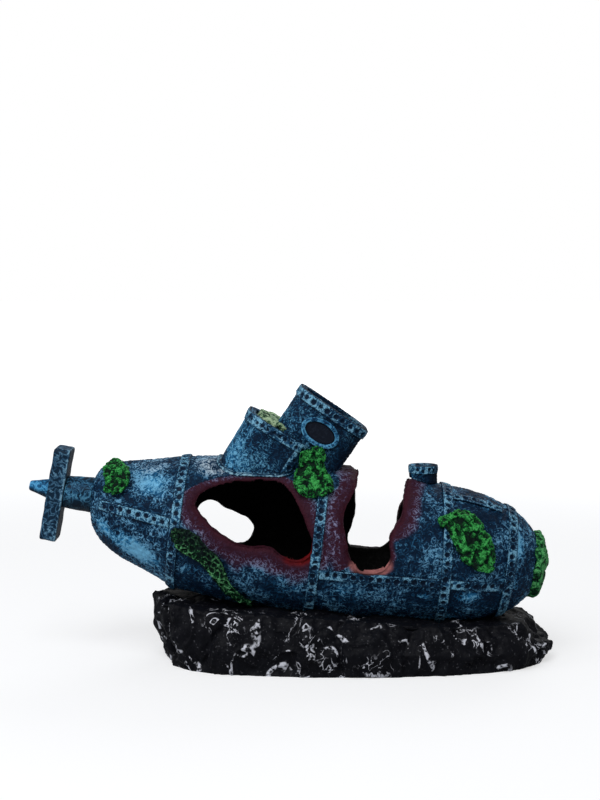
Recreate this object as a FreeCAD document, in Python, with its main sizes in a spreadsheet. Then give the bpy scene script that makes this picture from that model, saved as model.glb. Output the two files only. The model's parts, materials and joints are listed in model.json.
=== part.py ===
import FreeCAD, Part
import math
import os
import Sketcher

# A submarine wreck for an aquarium: a cast resin hull in three shells, a two-stage
# leaning tower, riveted straps, clumps of moss and a rock base, with an air fitting
# that leads bubbles up from the back of the rock into the hull.
#
# The hull has a frame of its own: its x axis runs from the stern joint to the bow,
# its y axis to port and its z axis up. That frame is pitched bow-down above the rock.
# Everything that belongs to the hull is drawn in it and placed by HULL at the end.

os.makedirs("parts", exist_ok=True)
doc = FreeCAD.newDocument("BubblingOrnament")

# ---------------------------------------------------------------- driving dimensions
SIZES = {
    # where the hull's frame stands above the rock, and its pitch in degrees
    "hull_place": -36.65, "keel_height": 14.9, "hull_pitch": 7.04,
    # the barrel-shaped middle of the hull and its domed bow
    "wall": 3.3, "midship_length": 86.6,
    "barrel_radius": 24.9, "barrel_fullest": 46.2, "barrel_arc": 305.0,
    "bow_length": 32.8, "nose_radius": 18.6,
    # the stern tapers through four stations and rises towards the screw shaft
    "stern_mid_place": 10.8, "stern_mid_rise": 1.4, "stern_mid_radius": 17.8,
    "stern_aft_place": 19.2, "stern_aft_rise": 2.35, "stern_aft_radius": 15.0,
    "stern_end_place": 25.4, "stern_end_rise": 3.65, "stern_end_radius": 11.6,
    "stern_dome_length": 3.4, "stern_dome_radius": 8.4, "stern_dome_swell": 0.6,
    "stern_hollow": 15.0,
    # screw shaft and two-bladed screw
    "shaft_rise": 5.1, "shaft_root_radius": 5.8, "shaft_radius": 5.25, "shaft_length": 9.1,
    "screw_thickness": 5.4, "screw_span": 30.4, "screw_chord": 11.5, "screw_edge": 1.4,
    "screw_bulge": 0.6, "screw_tilt": 3.4, "screw_drop": 0.9,
    "cone_radius": 3.3, "cone_length": 6.6, "cone_tip": 1.5,
    # how far a recess or a bore is drawn past the face it opens on
    "over_cut": 1.0,
    # riveted straps
    "strap_proud": 0.6, "strap_width": 3.3, "midship_hoop_place": 45.2,
    "nose_hoop_reach": 20.8, "bow_hoop_lean": 3.3, "side_strap_drop": 7.2,
    "side_strap_lean": 1.85, "stern_strap_rise": 2.6, "stern_strap_lean": 4.0,
    "deck_strap_angle": 25.0, "deck_strap_reach": 17.0,
    # openings in the hull's sides, by the middle and size of each outline
    "near_window_place": 24.4, "near_window_rise": 7.55,
    "near_window_length": 38.0, "near_window_height": 22.9,
    "far_window_place": 14.5, "far_window_rise": -2.0,
    "far_window_length": 20.0, "far_window_height": 14.4,
    "breach_place": 62.2, "breach_floor": 5.2, "breach_length": 18.0,
    # two-stage tower, by the middle of each rim
    "low_tower_place": 29.25, "low_tower_rise": 10.35, "low_tower_lean": 24.0,
    "low_tower_length": 22.1, "low_tower_width": 26.0,
    "low_tower_aft_round": 8.5, "low_tower_fore_round": 5.0,
    "top_tower_place": 46.05, "top_tower_rise": 18.6, "top_tower_lean": 27.3,
    "top_tower_length": 25.0, "top_tower_width": 22.0, "top_tower_round": 6.5,
    "tower_depth": 30.0, "tower_wall": 2.0, "tower_recess": 2.4, "flange_reach": 1.2,
    "corner_strap_width": 3.0, "corner_strap_shift": 4.0,
    # oval portholes on both sides of the upper stage
    "porthole_depth": 8.7, "porthole_length": 13.2, "porthole_height": 8.9,
    "porthole_ring": 1.4, "porthole_proud": 1.1, "pane_proud": 0.4, "porthole_turn": 3.0,
    # open vent stub aft of the bow
    "vent_place": 77.1, "vent_rise": 3.4, "vent_lean": 7.04, "vent_radius": 4.5,
    "vent_bore": 2.7, "vent_bore_depth": 6.0, "vent_depth": 12.0, "vent_band_height": 2.6,
    "vent_band_proud": 0.3,
    # moss
    "moss_proud": 2.0, "nose_moss_radius": 10.8, "deck_moss_gap": 1.0, "deck_moss_rise": 1.2,
    # rock base: its length and width at the waist, the heights of its four levels, and
    # how far each level stands in at the stern end, the bow end and the sides
    "rock_middle": 20.5, "rock_length": 132.4, "rock_width": 57.0, "rock_tilt": 3.6,
    "rock_foot_stern": 5.4, "rock_foot_bow": 3.2, "rock_foot_side": 1.5,
    "rock_waist_height": 7.5, "rock_waist_stern": 3.4,
    "rock_shoulder_height": 13.4, "rock_shoulder_stern": 2.2, "rock_shoulder_bow": 4.0,
    "rock_shoulder_side": 1.2,
    "rock_crest_height": 17.2, "rock_crest_stern": 1.0, "rock_crest_bow": 9.0,
    "rock_crest_side": 4.0,
    # air fitting: a spigot behind the rock, an elbow in it, a riser and a loose stone
    "air_place": 64.5, "air_bore": 1.2, "elbow_radius": 3.2, "elbow_drop": 31.0,
    "elbow_reach": 24.0, "spigot_radius": 2.5, "spigot_length": 10.0, "spigot_lead": 0.5,
    "hose_room": 3.0,
    "riser_radius": 2.2, "riser_spigot": 3.6, "grommet_wall": 1.8, "grommet_lip": 1.2,
    "grommet_lip_height": 0.8, "grommet_rise": 0.8, "stone_radius": 4.0, "stone_height": 8.0,
    "stone_clearance": 0.3, "stone_round": 1.2,
}

sheet = doc.addObject("Spreadsheet::Sheet", "sizes")
for row, (alias, number) in enumerate(SIZES.items(), start=1):
    sheet.set(f"A{row}", alias)
    sheet.set(f"B{row}", str(number))
    sheet.setAlias(f"B{row}", alias)
doc.recompute()


def worth(expression):
    """The number that an expression over the sheet comes to."""
    answer = sheet.evalExpression(expression)
    return float(getattr(answer, "Value", answer))


def barrel_at(place):
    """Expression for the barrel's outer radius at a place along the hull."""
    return (f"(sizes.barrel_radius - sizes.barrel_arc + "
            f"sqrt(sizes.barrel_arc ^ 2 - ({place} - sizes.barrel_fullest) ^ 2))")


def place(x="0", y="0", z="0", axis=(0, 1, 0), angle="0"):
    """Placement expression from a point, an axis and an angle in degrees."""
    turn = f"rotation(vector({axis[0]}; {axis[1]}; {axis[2]}); {angle})"
    return f"placement(vector({x}; {y}; {z}); {turn})"


HULL_HEIGHT = ("sizes.keel_height + sizes.barrel_radius * cos(sizes.hull_pitch)"
               " + sizes.barrel_fullest * sin(sizes.hull_pitch)")
HULL = place("sizes.hull_place", "0", HULL_HEIGHT, (0, 1, 0), "sizes.hull_pitch")
BOW_RADIUS = barrel_at("sizes.midship_length")
CREST = "sizes.barrel_radius"
BIG = "(3 * sizes.barrel_radius)"


# ---------------------------------------------------------------- document helpers
def add(kind, name, placed=None, **bound):
    """A document object whose properties are bound to expressions over the sheet."""
    item = doc.addObject(kind, name)
    for prop, expression in bound.items():
        item.setExpression(prop, expression)
    if placed:
        item.setExpression("Placement", placed)
    return item


def join(kind, name, base, tool, placed=None):
    """A two-object boolean, Part::Cut or Part::Common."""
    item = add(kind, name, placed)
    item.Base = base
    item.Tool = tool
    return item


def cut(name, base, tool, placed=None):
    """The base without the tool."""
    return join("Part::Cut", name, base, tool, placed)


def common(name, base, tool, placed=None):
    """What the base and the tool share."""
    return join("Part::Common", name, base, tool, placed)


def fuse(name, shapes, placed=None):
    """Shapes made one."""
    item = add("Part::MultiFuse", name, placed)
    item.Shapes = shapes
    return item


def group(name, shapes, placed=None):
    """Shapes kept side by side, as one tool or one node."""
    item = add("Part::Compound", name, placed)
    item.Links = shapes
    return item


def rod(name, radius, length, placed):
    """A cylinder."""
    return add("Part::Cylinder", name, placed, Radius=radius, Height=length)


def along_x(x, z="0"):
    """Placement at a point on the hull's middle plane, its height towards the bow."""
    return place(x, "0", z, (0, 1, 0), "90")


def along_y(x, y, z):
    """Placement at a point, its height towards port."""
    return place(x, y, z, (1, 0, 0), "-90")


def dimension(sketch, name, expression, kind, *references):
    """A sketch dimension bound to the sheet."""
    index = sketch.addConstraint(Sketcher.Constraint(kind, *references, worth(expression)))
    sketch.renameConstraint(index, name)
    sketch.setExpression(f"Constraints.{name}", expression)


def tie(sketch, kind, *references):
    """A sketch constraint without a size."""
    sketch.addConstraint(Sketcher.Constraint(kind, *references))


UPRIGHT = FreeCAD.Placement(FreeCAD.Vector(), FreeCAD.Rotation(FreeCAD.Vector(1, 0, 0), 90))


def side_outline(name, points, middle=("0", "0"), spans=("1", "1")):
    """A closed smooth outline seen from the side, its points as shares of its spans."""
    sketch = add("Sketcher::SketchObject", name)
    across, up = worth(spans[0]), worth(spans[1])
    left, low = worth(middle[0]), worth(middle[1])
    curve = Part.BSplineCurve()
    curve.interpolate(Points=[FreeCAD.Vector(left + x * across, low + z * up, 0)
                              for x, z in points], PeriodicFlag=True)
    sketch.Placement = UPRIGHT
    sketch.addGeometry(curve)
    return sketch


def side_prism(name, outline, near=BIG, far="0"):
    """An outline made solid towards starboard (near) and port (far)."""
    prism = add("Part::Extrusion", name, LengthFwd=near, LengthRev=far)
    prism.Base = outline
    prism.DirMode = "Custom"
    prism.Dir = (0, -1, 0)
    prism.Solid = True
    return prism


PARTS = []


def part(item):
    """Marks an object as a piece of the ornament; its Label names its file."""
    item.Label = item.Name
    PARTS.append(item)
    return item


# ---------------------------------------------------------------- hull shapes
def turned_solid(name, sketch):
    """A closed half-profile turned about the hull's axis."""
    turned = add("Part::Revolution", name)
    turned.Source = sketch
    turned.Axis = (1, 0, 0)
    turned.Angle = 360
    turned.Solid = True
    return turned


def barrel(name, proud, hollow=None):
    """The middle of the hull: an arc turned about the axis, whole or as a shell."""
    sketch = add("Sketcher::SketchObject", name + "_profile")
    sketch.Placement = UPRIGHT
    middle, length = worth("sizes.barrel_fullest"), worth("sizes.midship_length")
    depth = worth("sizes.barrel_arc - sizes.barrel_radius")

    def bow(label, radius):
        size = worth(radius)
        circle = Part.Circle(FreeCAD.Vector(middle, -depth, 0), FreeCAD.Vector(0, 0, 1), size)
        fore = math.acos((length - middle) / size)
        aft = math.acos(-middle / size)
        arc = sketch.addGeometry(Part.ArcOfCircle(circle, fore, aft))
        dimension(sketch, label + "_radius", radius, "Radius", arc)
        dimension(sketch, label + "_middle", "sizes.barrel_fullest", "DistanceX", -1, 1, arc, 3)
        dimension(sketch, label + "_depth", "sizes.barrel_arc - sizes.barrel_radius",
                  "DistanceY", arc, 3, -1, 1)
        dimension(sketch, label + "_length", "sizes.midship_length", "DistanceX", -1, 1, arc, 1)
        tie(sketch, "PointOnObject", arc, 2, -2)
        return arc

    def line(start, end):
        return sketch.addGeometry(Part.LineSegment(FreeCAD.Vector(*start, 0),
                                                   FreeCAD.Vector(*end, 0)))

    outer = bow("outer", f"sizes.barrel_arc + {proud}")
    outer_fore, outer_aft = sketch.getPoint(outer, 1), sketch.getPoint(outer, 2)
    if hollow:
        inner = bow("inner", f"sizes.barrel_arc - {hollow}")
        inner_fore, inner_aft = sketch.getPoint(inner, 1), sketch.getPoint(inner, 2)
        fore = line((outer_fore.x, outer_fore.y), (inner_fore.x, inner_fore.y))
        aft = line((inner_aft.x, inner_aft.y), (outer_aft.x, outer_aft.y))
        tie(sketch, "Coincident", fore, 2, inner, 1)
        tie(sketch, "Coincident", aft, 1, inner, 2)
    else:
        fore = line((outer_fore.x, outer_fore.y), (length, 0))
        axis = line((length, 0), (0, 0))
        aft = line((0, 0), (outer_aft.x, outer_aft.y))
        tie(sketch, "Coincident", fore, 2, axis, 1)
        tie(sketch, "Coincident", axis, 2, aft, 1)
        tie(sketch, "Coincident", axis, 2, -1, 1)
        tie(sketch, "Horizontal", axis)
        tie(sketch, "Vertical", fore)
    tie(sketch, "Coincident", fore, 1, outer, 1)
    tie(sketch, "Coincident", aft, 2, outer, 2)
    return turned_solid(name, sketch)


def tapered(name, stations, ruled):
    """A solid through circles square to the hull's axis: (place aft, rise, radius)."""
    rings = []
    for index, (aft, rise, radius) in enumerate(stations):
        ring = add("Part::Circle", f"{name}_{index}", along_x(f"-({aft})", rise), Radius=radius)
        rings.append(ring)
    loft = add("Part::Loft", name)
    loft.Sections = rings
    loft.Solid = True
    loft.Ruled = ruled
    return loft


def stern_stations(proud):
    """The circles that the stern's skin passes through, grown by proud."""
    return [("0", "0", f"{BARREL_ROOT} + {proud}")] + [
        (f"sizes.stern_{at}_place", f"sizes.stern_{at}_rise", f"sizes.stern_{at}_radius + {proud}")
        for at in ("mid", "aft", "end")]


def bow_dome(name, proud):
    """The bow ahead of the barrel: a shoulder arc that runs into a rounder nose arc."""
    sketch = add("Sketcher::SketchObject", name + "_profile")
    sketch.Placement = UPRIGHT
    root = f"{BOW_RADIUS} + {proud}"
    reach = f"sizes.bow_length + {proud}"
    nose = f"sizes.nose_radius + {proud}"
    start, top = worth("sizes.midship_length"), worth(root)
    length, tip_size = worth(reach), worth(nose)
    ahead = length - tip_size
    shoulder_size = (ahead ** 2 + top ** 2 - tip_size ** 2) / (2 * (top - tip_size))
    turn = math.atan2(shoulder_size - top, ahead)
    up = FreeCAD.Vector(0, 0, 1)
    shoulder_circle = Part.Circle(FreeCAD.Vector(start, top - shoulder_size, 0), up, shoulder_size)
    nose_circle = Part.Circle(FreeCAD.Vector(start + ahead, 0, 0), up, tip_size)
    shoulder = sketch.addGeometry(Part.ArcOfCircle(shoulder_circle, turn, math.pi / 2))
    tip = sketch.addGeometry(Part.ArcOfCircle(nose_circle, 0, turn))
    axis = sketch.addGeometry(Part.LineSegment(FreeCAD.Vector(start + length, 0, 0),
                                               FreeCAD.Vector(start, 0, 0)))
    back = sketch.addGeometry(Part.LineSegment(FreeCAD.Vector(start, 0, 0),
                                               FreeCAD.Vector(start, top, 0)))
    tie(sketch, "Tangent", tip, 2, shoulder, 1)
    tie(sketch, "Coincident", tip, 1, axis, 1)
    tie(sketch, "Coincident", axis, 2, back, 1)
    tie(sketch, "Coincident", back, 2, shoulder, 2)
    tie(sketch, "Horizontal", axis)
    tie(sketch, "Vertical", back)
    tie(sketch, "PointOnObject", axis, 1, -1)
    tie(sketch, "PointOnObject", tip, 3, -1)
    tie(sketch, "PointOnObject", shoulder, 3, back)
    dimension(sketch, "start", "sizes.midship_length", "DistanceX", -1, 1, back, 1)
    dimension(sketch, "root", root, "DistanceY", -1, 1, back, 2)
    dimension(sketch, "reach", reach, "DistanceX", back, 1, axis, 1)
    dimension(sketch, "nose", nose, "Radius", tip)
    return turned_solid(name, sketch)


def envelope(name, proud):
    """The hull's whole outer shape, grown outwards by proud."""
    stern = tapered(name + "_stern", stern_stations(proud), False)
    return fuse(name, [stern, barrel(name + "_barrel", proud), bow_dome(name + "_bow", proud)])


BARREL_ROOT = barrel_at("0")
hull_form = envelope("hull_form", "0")
strap_skin = cut("strap_skin", envelope("strap_form", "sizes.strap_proud"), hull_form)
moss_skin = cut("moss_skin", envelope("moss_form", "sizes.moss_proud"), hull_form)

# ---------------------------------------------------------------- openings
NEAR_WINDOW = [(-0.50, 0.10), (-0.46, 0.22), (-0.30, 0.38), (0.03, 0.50), (0.21, 0.48),
               (0.36, 0.23), (0.47, -0.09), (0.50, -0.40), (0.42, -0.50), (0.30, -0.49),
               (0.18, -0.37), (-0.03, -0.39), (-0.14, -0.35), (-0.47, 0.00)]
FAR_WINDOW = [(-0.50, 0.18), (-0.42, 0.40), (-0.27, 0.50), (-0.08, 0.37), (0.10, 0.27),
              (0.32, 0.18), (0.50, -0.10), (0.42, -0.38), (0.16, -0.50), (-0.22, -0.40),
              (-0.44, -0.16)]
NEAR_BREACH = [(-0.13, -0.01), (0.10, 0.0), (0.25, 0.07), (0.34, 0.24), (0.345, 0.40),
               (0.295, 0.57), (0.31, 0.73), (0.385, 0.89), (0.465, 1.02), (0.49, 1.19),
               (0.52, 1.40), (0.60, 1.80), (0.62, 3.20), (-0.45, 3.20), (-0.34, 1.56),
               (-0.37, 1.42), (-0.45, 1.24), (-0.54, 0.95), (-0.475, 0.61), (-0.39, 0.35),
               (-0.30, 0.16)]
FAR_BREACH = [(-0.22, -0.01), (0.13, 0.0), (0.34, 0.045), (0.47, 0.14), (0.54, 0.32),
              (0.58, 0.56), (0.58, 0.74), (0.615, 0.98), (0.66, 1.17), (0.64, 1.40),
              (0.61, 1.70), (0.62, 3.20), (-0.45, 3.20), (-0.36, 1.55), (-0.33, 1.40),
              (-0.29, 1.18), (-0.265, 0.96), (-0.235, 0.46), (-0.295, 0.19), (-0.28, 0.05)]

near_window = side_prism("near_window", side_outline(
    "near_window_outline", NEAR_WINDOW, ("sizes.near_window_place", "sizes.near_window_rise"),
    ("sizes.near_window_length", "sizes.near_window_height")))
far_window = side_prism("far_window", side_outline(
    "far_window_outline", FAR_WINDOW, ("sizes.far_window_place", "sizes.far_window_rise"),
    ("sizes.far_window_length", "sizes.far_window_height")), "0", BIG)
BREACH_FRAME = (("sizes.breach_place", "-sizes.breach_floor"),
                ("sizes.breach_length", "sizes.breach_length"))
near_breach = side_prism("near_breach", side_outline(
    "near_breach_outline", NEAR_BREACH, *BREACH_FRAME))
far_breach = side_prism("far_breach", side_outline(
    "far_breach_outline", FAR_BREACH, *BREACH_FRAME), "0", BIG)
gland_bore = rod("gland_bore", "sizes.riser_radius + sizes.grommet_wall", BIG,
                 place("sizes.air_place", "0", f"-{BIG}"))

# ---------------------------------------------------------------- hull shells
midship_shell = barrel("midship_shell", "0", "sizes.wall")
midship_cuts = fuse("midship_cuts", [near_window, far_window, near_breach, far_breach,
                                     gland_bore])
part(cut("hull_midship", midship_shell, midship_cuts, HULL))

part(cut("hull_bow", bow_dome("bow_solid", "0"), bow_dome("bow_hollow", "(-sizes.wall)"), HULL))

stern_body = tapered("stern_body", stern_stations("0"), False)
stern_end = "sizes.stern_end_place"
dome_end = f"{stern_end} + sizes.stern_dome_length"
stern_dome = tapered("stern_dome", [
    (stern_end, "sizes.stern_end_rise", "sizes.stern_end_radius"),
    (f"{stern_end} + sizes.stern_dome_length * sizes.stern_dome_swell",
     "(sizes.stern_end_rise + sizes.shaft_rise) / 2",
     "(sizes.stern_end_radius + 2 * sizes.stern_dome_radius) / 3"),
    (dome_end, "sizes.shaft_rise", "sizes.shaft_root_radius")], True)
stern_hollow = tapered("stern_hollow", [
    ("0", "0", f"{BARREL_ROOT} - sizes.wall"),
    ("sizes.stern_mid_place", "sizes.stern_mid_rise", "sizes.stern_mid_radius - sizes.wall"),
    ("sizes.stern_hollow", "sizes.stern_mid_rise", "sizes.stern_aft_radius - sizes.wall")], True)
part(cut("hull_stern", fuse("stern_solid", [stern_body, stern_dome]), stern_hollow, HULL))

# ---------------------------------------------------------------- screw
shaft_end = f"{dome_end} + sizes.shaft_length"


def screw_frame(reach, drop="0"):
    """Placement in the screw's tipped frame, that far past the shaft and below its axis."""
    return (HULL + " * " + place(f"-({shaft_end})", "0", "sizes.shaft_rise", (0, 1, 0),
                                 "sizes.screw_tilt") + " * " + along_x(f"-({reach})", f"-({drop})"))


shaft = add("Part::Loft", "screw_shaft")
shaft.Sections = [
    add("Part::Circle", "shaft_root",
        HULL + " * " + along_x(f"-({dome_end})", "sizes.shaft_rise"),
        Radius="sizes.shaft_root_radius"),
    add("Part::Circle", "shaft_tip", screw_frame("0"), Radius="sizes.shaft_radius")]
shaft.Solid = True
shaft.Ruled = True
part(shaft)


def box_body(name, spans, placed, round_edges=None):
    """A PartDesign block centred on its frame, with chosen edges rounded."""
    body = add("PartDesign::Body", name, placed)
    plane = [item for item in body.Origin.OriginFeatures if item.Role == "XY_Plane"][0]
    sketch = body.newObject("Sketcher::SketchObject", name + "_plan")
    sketch.AttachmentSupport = [(plane, "")]
    sketch.MapMode = "FlatFace"
    across, deep = worth(spans[0]) / 2, worth(spans[1]) / 2
    corners = [(-across, -deep), (across, -deep), (across, deep), (-across, deep)]
    for index in range(4):
        start = FreeCAD.Vector(*corners[index], 0)
        end = FreeCAD.Vector(*corners[(index + 1) % 4], 0)
        sketch.addGeometry(Part.LineSegment(start, end))
    for index in range(4):
        tie(sketch, "Coincident", index, 2, (index + 1) % 4, 1)
        tie(sketch, "Horizontal" if index % 2 == 0 else "Vertical", index)
    tie(sketch, "Symmetric", 0, 1, 2, 1, -1, 1)
    dimension(sketch, "across", spans[0], "DistanceX", 0, 1, 0, 2)
    dimension(sketch, "deep", spans[1], "DistanceY", 1, 1, 1, 2)
    pad = body.newObject("PartDesign::Pad", name + "_pad")
    pad.Profile = sketch
    pad.setExpression("Length", spans[2])
    doc.recompute()
    for label, wanted, radius in round_edges or []:
        fillet = body.newObject("PartDesign::Fillet", f"{name}_{label}")
        base = body.Group[body.Group.index(fillet) - 1]
        names = [f"Edge{index + 1}" for index, edge in enumerate(base.Shape.Edges)
                 if wanted(edge)]
        fillet.Base = (base, names)
        fillet.setExpression("Radius", radius)
        doc.recompute()
    return body


def upright(edge):
    """True for an edge that runs along the block's own height."""
    first, last = edge.firstVertex().Point, edge.lastVertex().Point
    return abs(first.x - last.x) < 0.01 and abs(first.y - last.y) < 0.01


part(box_body("screw", ("sizes.screw_span", "sizes.screw_chord", "sizes.screw_thickness"),
              screw_frame("sizes.screw_thickness", "sizes.screw_drop"),
              [("tips", upright, "sizes.screw_edge"),
               ("face", lambda edge: edge.BoundBox.ZMax < 0.01, "sizes.screw_bulge")]))
part(add("Part::Cone", "screw_cone", screw_frame("sizes.screw_thickness + sizes.cone_length"),
         Radius1="sizes.cone_tip", Radius2="sizes.cone_radius", Height="sizes.cone_length"))


# ---------------------------------------------------------------- tower
def stage_frame(stage, drop="0", side="0"):
    """Placement of a tower stage: its rim's middle, leaning forward with the stage."""
    lean = f"sizes.{stage}_tower_lean"
    x = f"sizes.{stage}_tower_place - ({drop}) * sin({lean})"
    z = f"{CREST} + sizes.{stage}_tower_rise - ({drop}) * cos({lean})"
    return place(x, side, z, (0, 1, 0), lean)


def stage_block(name, stage, grown, depth, top="0"):
    """A rounded block of a stage's plan, grown sideways, from a depth up to its top."""
    spans = (f"sizes.{stage}_tower_length + 2 * ({grown})",
             f"sizes.{stage}_tower_width + 2 * ({grown})", f"({depth}) - ({top})")
    if stage == "low":
        rounds = [("aft", lambda edge: upright(edge) and edge.BoundBox.XMax < 0,
                   f"sizes.low_tower_aft_round + {grown}"),
                  ("fore", lambda edge: upright(edge) and edge.BoundBox.XMin > 0
                   and edge.Curve.TypeId == "Part::GeomLine",
                   f"sizes.low_tower_fore_round + {grown}")]
    else:
        rounds = [("corners", upright, f"sizes.top_tower_round + {grown}")]
    return box_body(name, spans, stage_frame(stage, depth), rounds)


low_block = stage_block("low_block", "low", "0", "sizes.tower_depth")
top_block = stage_block("top_block", "top", "0", "sizes.tower_depth")


def recess(name, stage):
    """The shallow well in a stage's top."""
    return stage_block(name, stage, "-sizes.tower_wall", "sizes.tower_recess", "-sizes.over_cut")


part(cut("tower_upper", cut("top_open", top_block, recess("top_recess", "top")), hull_form, HULL))
part(cut("tower_lower", cut("low_open", low_block, recess("low_recess", "low")),
         group("low_around", [hull_form, top_block]), HULL))

low_band = stage_block("low_band", "low", "sizes.strap_proud", "sizes.strap_width")
part(cut("tower_lower_rim", low_band,
         group("low_band_around", [low_block, top_block, hull_form]), HULL))
top_band = stage_block("top_band", "top", "sizes.strap_proud", "sizes.strap_width")
part(cut("tower_upper_rim", top_band, top_block, HULL))

flange_plan = stage_block("flange_plan", "low", "sizes.flange_reach", "sizes.tower_depth")
part(cut("tower_flange", common("flange_ring", strap_skin, flange_plan),
         group("stage_solids", [low_block, top_block]), HULL))

corner_sleeve = stage_block("corner_sleeve", "low", "sizes.strap_proud", "sizes.tower_depth",
                            "sizes.strap_width")
corner_fore = ("sizes.low_tower_length / 2 - sizes.low_tower_fore_round"
               " + sizes.corner_strap_shift")
for side, near in (("starboard", f"-{BIG}"), ("port", "0")):
    corner_zone = add("Part::Box", side + "_corner_zone",
                      stage_frame("low", "sizes.tower_depth") + " * "
                      + place(f"{corner_fore} - sizes.corner_strap_width", near, "0"),
                      Length="sizes.corner_strap_width", Width=BIG,
                      Height="sizes.tower_depth")
    strip = common(side + "_corner_strip", corner_sleeve, corner_zone)
    part(cut(side + "_corner_strap", strip,
             group(side + "_corner_around",
                   [low_block, top_block, doc.getObject("strap_form")]), HULL))


def oval(name, length, height, depth, placed):
    """An elliptical disc standing on a stage's flat side."""
    plan = add("Part::Ellipse", name + "_plan", MajorRadius=f"({length}) / 2",
               MinorRadius=f"({height}) / 2")
    disc = add("Part::Extrusion", name, placed, LengthFwd=depth)
    disc.Base = plan
    disc.DirMode = "Custom"
    disc.Dir = (0, 0, 1)
    disc.Solid = True
    return disc


for side, turn, sign in (("starboard", "90", "-"), ("port", "-90", "")):
    facing = (stage_frame("top", "sizes.porthole_depth", f"{sign}sizes.top_tower_width / 2")
              + " * " + place(axis=(1, 0, 0), angle=turn)
              + " * " + place(axis=(0, 0, 1),
                              angle="sizes.porthole_turn" if side == "starboard"
                              else "-sizes.porthole_turn"))
    shrink = "2 * sizes.porthole_ring"
    outer = oval(side + "_oval", "sizes.porthole_length", "sizes.porthole_height",
                 "sizes.porthole_proud", facing)
    inner = oval(side + "_eye", f"sizes.porthole_length - {shrink}",
                 f"sizes.porthole_height - {shrink}", "sizes.porthole_proud", facing)
    pane = oval(side + "_pane_disc", f"sizes.porthole_length - {shrink}",
                f"sizes.porthole_height - {shrink}", "sizes.pane_proud", facing)
    part(cut(side + "_porthole_ring", outer, inner, HULL))
    part(group(side + "_porthole_pane", [pane], HULL))

# ---------------------------------------------------------------- vent stub
VENT_TOP = f"{CREST} + sizes.vent_rise"


def vent_frame(drop):
    """Placement below the vent's rim: it stands upright, so it leans back in the hull."""
    return place(f"sizes.vent_place + ({drop}) * sin(sizes.vent_lean)", "0",
                 f"{VENT_TOP} - ({drop}) * cos(sizes.vent_lean)", (0, 1, 0), "-sizes.vent_lean")


vent_rod = rod("vent_rod", "sizes.vent_radius", "sizes.vent_depth", vent_frame("sizes.vent_depth"))
vent_hole = rod("vent_hole", "sizes.vent_bore", "sizes.vent_bore_depth + sizes.over_cut",
                vent_frame("sizes.vent_bore_depth"))
part(cut("vent_stub", cut("vent_tube", vent_rod, vent_hole), hull_form, HULL))
band_rod = rod("band_rod", "sizes.vent_radius + sizes.vent_band_proud", "sizes.vent_band_height",
               vent_frame("sizes.vent_band_height"))
part(cut("vent_band", band_rod, vent_rod, HULL))

# ---------------------------------------------------------------- straps on the hull
HALF = "sizes.strap_width / 2"
NOSE_HOOP = "(sizes.midship_length + sizes.nose_hoop_reach)"
HOOPS = {
    # name: place along the hull, lean in degrees
    "stern_hoop": ("0", "0"),
    "midship_hoop": ("sizes.midship_hoop_place", "0"),
    "bow_hoop": ("sizes.midship_length", "-sizes.bow_hoop_lean"),
    "nose_hoop": (NOSE_HOOP, "0"),
}
strap_cuts = group("strap_cuts", [near_window, far_window, near_breach, far_breach,
                                  low_block, top_block,
                                  flange_plan, vent_rod])
for name, (middle, lean) in HOOPS.items():
    slab = add("Part::Box", name + "_slab",
               place(middle, "0", "0", (0, 1, 0), lean) + " * "
               + place(f"-{HALF}", f"-{BIG}", f"-{BIG}"),
               Length="sizes.strap_width", Width=f"2 * {BIG}", Height=f"2 * {BIG}")
    ring = common(name + "_ring", strap_skin, slab)
    part(cut(name, ring, strap_cuts, HULL))
bare_hoops = [doc.getObject(name + "_ring") for name in HOOPS]
lone_hoops = group("lone_hoops", bare_hoops + [strap_cuts])

RUNS = {
    # name: start along the hull, height there, lean, reach
    "side_strap": ("sizes.midship_hoop_place", "-sizes.side_strap_drop",
                   "-sizes.side_strap_lean", f"{NOSE_HOOP} - sizes.midship_hoop_place"),
    "stern_strap": ("0", "sizes.stern_strap_rise", "sizes.stern_strap_lean",
                    "-sizes.stern_end_place"),
}
for side, near in (("starboard", f"-{BIG}"), ("port", "0")):
    for name, (start, height, lean, reach) in RUNS.items():
        back = reach if reach.startswith("-") else "0"
        zone = add("Part::Box", f"{side}_{name}_zone",
                   place(start, "0", height, (0, 1, 0), lean) + " * "
                   + place(back, near, f"-{HALF}"),
                   Length=f"abs({reach})", Width=BIG, Height="sizes.strap_width")
        run = common(f"{side}_{name}_run", strap_skin, zone)
        part(cut(f"{side}_{name}", run, lone_hoops, HULL))
    lean = "sizes.deck_strap_angle" if side == "starboard" else "-sizes.deck_strap_angle"
    zone = add("Part::Box", side + "_deck_zone",
               place(axis=(1, 0, 0), angle=lean) + " * "
               + place("sizes.midship_length", f"-{HALF}", "0"),
               Length="sizes.deck_strap_reach", Width="sizes.strap_width", Height=BIG)
    run = common(side + "_deck_run", strap_skin, zone)
    part(cut(side + "_deck_strap", run, lone_hoops, HULL))

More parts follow.
